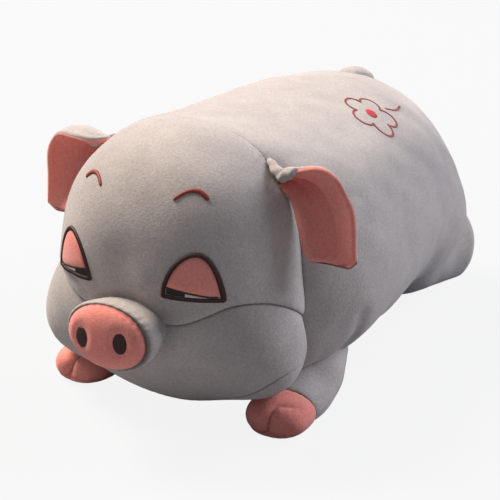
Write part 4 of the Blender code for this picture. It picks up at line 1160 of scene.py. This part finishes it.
for side, label in SIDES:
    sheet = ear_sheet(side)
    middle = sheet.mean((0, 1))
    flat, area = cut_size(sheet)
    points = ear_gather(side)
    # The whole roll gets painted shade, 0.22 in the seam attribute.
    gather = mesh_of(f"ear_gather_{label}", points, GREY, points.mean((0, 1)), around=True,
                     values=np.full(points.shape[:2], 0.22))
    settle_piece(gather, f"ear_{label}", "grey_velour", bend=ear_bend(side, 0.004, 0.020))
    for name, finish, slot, facing, thick, reach in (
        ("ear_lining", PINK, "pink_velour", 1, 0.0038, 0.0012), ("ear_back", GREY, "grey_velour", -1, 0.0024, 0.0),
    ):
        closed, dark = ply(sheet, facing, thick, 0.0003, reach)
        # The pink lining takes all of that painted shade, the grey back two fifths of it.
        values = np.concatenate([dark, dark[:, ::-1]], 1) * (1.0 if facing > 0 else 0.4)
        values = np.concatenate([values[:1], values, values[-1:]])
        piece = mesh_of(f"{name}_cloth_{label}", capped(closed), finish, middle, around=True, values=values)
        settle_piece(piece, f"ear_{label}", slot, f"{name}_{label}", bend=ear_bend(side, 0.004, 0.016))

# %% [markdown]
# ## Legs
# A front leg is a stuffed sleeve that lies along the floor and ends in a pink hoof. It grows out of a
# ball at its hinge, hidden in the body. The hoof is plump, flattened underneath, and drawn in by a
# stitched cleft down its front. The hind legs stick out behind, plain grey and rounded.


# %% Leg surfaces
class Leg:
    """A leg by its hinge, its wrist and the sizes there. The frame runs along it, across it and up."""

    def __init__(self, side, hip, root, wrist, half, tall, tip, swells):
        self.root, self.half, self.tall, self.tip = root, half, tall, tip
        self.root_swell, self.middle_swell, self.square = swells
        self.hip = np.array([side * hip[0], hip[1]])
        run = np.array([side * wrist[0], wrist[1]]) - self.hip
        self.reach = np.linalg.norm(run)
        self.ahead = run / self.reach
        self.aside = np.array([self.ahead[1], -self.ahead[0]]) * side

    def at(self, along, over, z):
        plan = self.hip + along[..., None] * self.ahead + over[..., None] * self.aside
        return np.stack([plan[..., 0], plan[..., 1], z], -1)

    def sleeve(self, around, share, inside=0.0):
        """Share -1 to 0 is the ball's back half. 0 to 1 is the tube, eased by 3s^2 - 2s^3 to the wrist."""
        back = np.clip(-share, 0, 1) * np.pi / 2
        s = np.clip(share, 0, 1)
        ease = s * s * (3 - 2 * s)
        power = mix(self.square, 1.0, ease)
        across, upward = rounded(np.cos(around), power), rounded(np.sin(around), power)
        half = (mix(self.root * 0.95, self.half, ease) - inside) * np.cos(back)
        low = mix(self.root * 0.05, -0.005, ease) + inside
        high = mix(self.root * 1.95 + self.root_swell * 0.6, self.tall, ease) - inside
        high = high + self.root_swell * 0.5 * np.sin(np.pi * s)
        middle = (low + high) / 2
        rise = (high - low) / 2 * np.cos(back)
        along = self.reach * s - self.root * np.sin(back)
        outer = np.clip(-across, 0, 1)
        swell = (self.root_swell * (1 - ease) + self.middle_swell * np.sin(np.pi * s)) * np.cos(back)
        return self.at(along, half * across - outer * swell, middle + rise * upward)

    def end(self, around, share, swell=1.0, inside=0.0):
        """From the wrist to the front: ellipses that swell and close, size = root(1 - s^n) x swell."""
        turn = share * np.pi / 2
        size = np.cos(turn) ** 0.55 * (1 + (swell - 1) * np.sin(np.clip(share * 1.35, 0, 1) * np.pi / 2))
        half = (self.half - inside) * size
        rise = ((self.tall + 0.005) / 2 - inside) * size
        along = self.reach + (self.tip - inside) * np.sin(turn)
        middle = (self.tall - 0.005) / 2
        return self.at(along, half * np.cos(around), middle + rise * np.sin(around))


def leg_out(points, leg, middle_z):
    """Outwards from the leg: away from the nearest place on its middle line."""
    plan = points[..., :2] - leg.hip
    along = np.clip(plan @ leg.ahead, 0, leg.reach + leg.tip * 0.45)
    middle = leg.at(along, 0 * along, 0 * along + middle_z)
    return unit(points - middle)


def carve_leg(points, leg, seams, seed):
    """Seams drawn in along leg_out, with a little unevenness."""
    out = leg_out(points, leg, leg.tall / 2)
    move = 0.0006 * lumps(points, 0.030, seed)
    seam = np.zeros(points.shape[:-1])
    for curve, depth, width in seams:
        distance, along = near(points, curve)
        move -= depth * roll(distance, width)
        move += 0.00022 * pucker(distance, along, 0.005, 0.0065)
        # Painted shade along each seam's line.
        seam = np.maximum(seam, 0.6 * np.exp(-((distance / 0.0011) ** 2)))
    return above_floor(points + out * move[..., None]), seam


def leg_core(leg, end, label, rows, inset, inside):
    """The filling: the sleeve and the end drawn in, and lifted off the floor."""
    tube = leg.sleeve(*rings(64, np.linspace(-1, 1, rows)), 0.0052)
    core = np.concatenate([tube, leg.end(*rings(64, np.linspace(0.05, 1, 24)), 1.0, inset)])
    core[..., 2] = np.maximum(core[..., 2], 0.0035)
    core = mesh_of(f"{end}_leg_core_{label}", core, FIBRE, inside, around=True)
    settle_piece(core, f"{end}_leg_{label}", "fibre_filling", f"{end}_leg_{label}_filling", fill=0.8)


# The cleft's places: a share of the way from the wrist to the tip, a share across, and a height.
CLEFTS = {
    1: [(0.58, -0.66, 0.0280), (0.69, -0.35, 0.0290), (0.79, -0.11, 0.0290), (0.94, 0.00, 0.0240),
        (1.00, 0.05, 0.0160), (1.00, 0.11, 0.0060)],
    -1: [(0.62, 0.36, 0.0310), (0.76, 0.30, 0.0290), (0.90, 0.20, 0.0245), (1.00, 0.08, 0.0180),
         (1.00, -0.12, 0.0060)],
}
turns = np.linspace(0, 2 * np.pi, 161)
for side, label in SIDES:
    wrist = {1: (0.0985, -0.132), -1: (0.0930, -0.129)}[side]
    leg = Leg(side, (0.084, -0.040), 0.0260, wrist, 0.0280, 0.0310, 0.0370, (0.0, 0.0080, 1.0))
    cuff = leg.sleeve(turns, np.ones_like(turns))
    places = np.array(CLEFTS[side])
    cleft = leg.at(leg.reach + leg.tip * places[:, 0], leg.half * places[:, 1], places[:, 2])
    cleft = smooth_path(cleft)
    sole_turn = np.linspace(-np.pi / 2, np.pi / 2, 120)
    sole = leg.at(leg.reach + leg.tip * 0.99 * np.cos(sole_turn) ** 0.6, leg.half * 1.06 * np.sin(sole_turn),
                  np.full(120, 0.0065))
    seams = [(cuff, 0.0022, 0.0080)]
    around, share = rings(96, np.linspace(-1, 1, 110))
    points, seam = carve_leg(leg.sleeve(around, share), leg, seams, seed=7)
    inside = leg.at(np.array(leg.reach * 0.5), np.array(0.0), np.array(0.02))
    sleeve = mesh_of(f"front_leg_cloth_{label}", points, GREY, inside, around=True, values=seam)
    thicken(sleeve)
    settle_piece(sleeve, f"front_leg_{label}", "grey_velour", f"front_leg_{label}", fill=0.8)
    seams += [(cleft, 0.0046, 0.0080), (sole, 0.0010, 0.0036)]
    around, share = rings(160, np.linspace(0, 1, 90) ** 0.85)
    points, seam = carve_leg(leg.end(around, share, 1.10), leg, seams, seed=9)
    inside = leg.at(np.array(leg.reach + 0.012), np.array(0.0), np.array(0.015))
    hoof = mesh_of(f"front_hoof_cloth_{label}", points, PINK, inside, around=True, values=seam)
    thicken(hoof)
    settle_piece(hoof, f"front_leg_{label}", "pink_velour", f"front_hoof_{label}", fill=0.8)
    leg_core(leg, "front", label, 50, 0.0075, inside)
    leg = Leg(side, (0.066, 0.164), 0.0460, (0.091, 0.234), 0.0300, 0.0760, 0.0190, (0.0040, 0.0020, 0.85))
    around, share = rings(128, np.linspace(-1, 1, 90))
    tube = leg.sleeve(around, share)
    around, share = rings(128, np.linspace(0.03, 1, 50) ** 0.85)
    points, seam = carve_leg(np.concatenate([tube, leg.end(around, share)]), leg, [], seed=5)
    inside = leg.at(np.array(leg.reach * 0.5), np.array(0.0), np.array(0.03))
    hind = mesh_of(f"hind_leg_cloth_{label}", points, GREY, inside, around=True, values=seam)
    thicken(hind)
    settle_piece(hind, f"hind_leg_{label}", "grey_velour", f"hind_leg_{label}", fill=0.8)
    leg_core(leg, "hind", label, 40, 0.0052, inside)

# %% [markdown]
# ## Tail
# The tail is a short plump stub, sewn to the rump by its front end. It is an ellipsoid, leaning back
# with the slope of the rump, with a core of filling.

# %% Tail
TAIL = on_back(np.array([0.0]), np.array([0.194]))[0] - (0, 0, 0.0030)
LEAN = math.radians(-17)


def tail_at(around, off, inside):
    """An ellipsoid: cosines and sines of two angles, scaled three ways and leaned about X."""
    x = (0.0170 - inside) * np.sin(off) * np.cos(around)
    y = (0.0260 - inside) * -np.cos(off)
    z = (0.0125 - inside) * np.sin(off) * np.sin(around)
    turned_y = y * math.cos(LEAN) - z * math.sin(LEAN)
    turned_z = y * math.sin(LEAN) + z * math.cos(LEAN)
    return TAIL + np.stack([x, turned_y, turned_z], -1)


around, off = rings(96, np.linspace(0, np.pi, 70))
points = tail_at(around, off, 0.0)
points = points + unit(points - TAIL) * (0.0005 * lumps(points, 0.02, 2))[..., None]
tail = mesh_of("tail_cloth", points, GREY, TAIL, around=True, values=0 * off)
thicken(tail)
settle_piece(tail, "tail", "grey_velour", "tail", fill=0.8)
core = mesh_of("tail_core", tail_at(around, off, 0.0035), FIBRE, TAIL, around=True)
settle_piece(core, "tail", "fibre_filling", "tail_filling", fill=0.8)

# %% [markdown]
# ## Floor and light
# The toy lies on a flat table that is grey to the light and nearly white to the camera, so it throws
# little light back up. One large warm lamp stands high to the left, as a window would, and a weaker
# cool one at the back right lights the flank. A dim blue world light keeps the shade open. The camera
# sees plain white behind the object.

# %% Stage
floor_data = bpy.data.meshes.new("floor")
reach = 6.0
floor_data.from_pydata([(-reach, -reach, -0.0004), (reach, -reach, -0.0004), (reach, reach, -0.0004),
                        (-reach, reach, -0.0004)], [], [(0, 1, 2, 3)])
floor = bpy.data.objects.new("floor", floor_data)
bpy.context.scene.collection.objects.link(floor)
paper = Finish("white table")
paper.set(Base_Color=(0.30, 0.31, 0.34, 1.0), Roughness=0.9, Specular_IOR_Level=0.1)
plain_white = paper.node("ShaderNodeEmission", None, {"Color": (1, 1, 1, 1), "Strength": 1.0})
seen = paper.node("ShaderNodeLightPath", output="Is Camera Ray")
SHOWN_WHITE = 0.88
lit = Wire(paper, paper.shader.outputs[0])
table = paper.node("ShaderNodeMixShader", None, {0: seen * SHOWN_WHITE, 1: lit, 2: plain_white})
paper.tree.links.new(table.socket, paper.tree.nodes["Material Output"].inputs["Surface"])
floor_data.materials.append(paper.material)


def lamp(name, place, aim, size, power, colour):
    light = bpy.data.lights.new(name, "AREA")
    light.size = size
    light.energy = power
    light.color = colour
    made = bpy.data.objects.new(name, light)
    away = unit(np.asarray(place, float) - np.asarray(aim, float))
    side = unit(np.cross((0, 0, 1), away))
    top = np.cross(away, side)
    made.matrix_world = Matrix([[side[k], top[k], away[k], place[k]] for k in range(3)] + [[0, 0, 0, 1]])
    bpy.context.scene.collection.objects.link(made)
    return made


lamp("window", (-2.95, 0.15, 4.1), (0.0, 0.0, 0.10), 2.0, 445.0, (1.0, 0.89, 0.77))
lamp("room behind", (2.8, 3.0, 2.4), (0.0, 0.0, 0.10), 2.4, 165.0, (0.88, 0.92, 1.0))
world = bpy.data.worlds.new("studio")
bpy.context.scene.world = world
world.use_nodes = True
nodes, links = world.node_tree.nodes, world.node_tree.links
ambient = nodes["Background"]
ambient.inputs["Color"].default_value = (0.82, 0.89, 1.0, 1.0)
ambient.inputs["Strength"].default_value = 0.15
white = nodes.new("ShaderNodeBackground")
white.inputs["Color"].default_value = (1, 1, 1, 1)
white.inputs["Strength"].default_value = 1.0
ray = nodes.new("ShaderNodeLightPath")
choose = nodes.new("ShaderNodeMixShader")
seen = nodes.new("ShaderNodeMath")
seen.operation = "MAXIMUM"
links.new(ray.outputs["Is Camera Ray"], seen.inputs[0])
either = nodes.new("ShaderNodeMath")
either.operation = "MAXIMUM"
links.new(ray.outputs["Is Glossy Ray"], either.inputs[0])
links.new(ray.outputs["Is Transmission Ray"], either.inputs[1])
links.new(either.outputs[0], seen.inputs[1])
links.new(seen.outputs[0], choose.inputs[0])
links.new(ambient.outputs[0], choose.inputs[1])
links.new(white.outputs[0], choose.inputs[2])
links.new(choose.outputs[0], nodes["World Output"].inputs[0])
bpy.context.scene.view_settings.view_transform = "Standard"
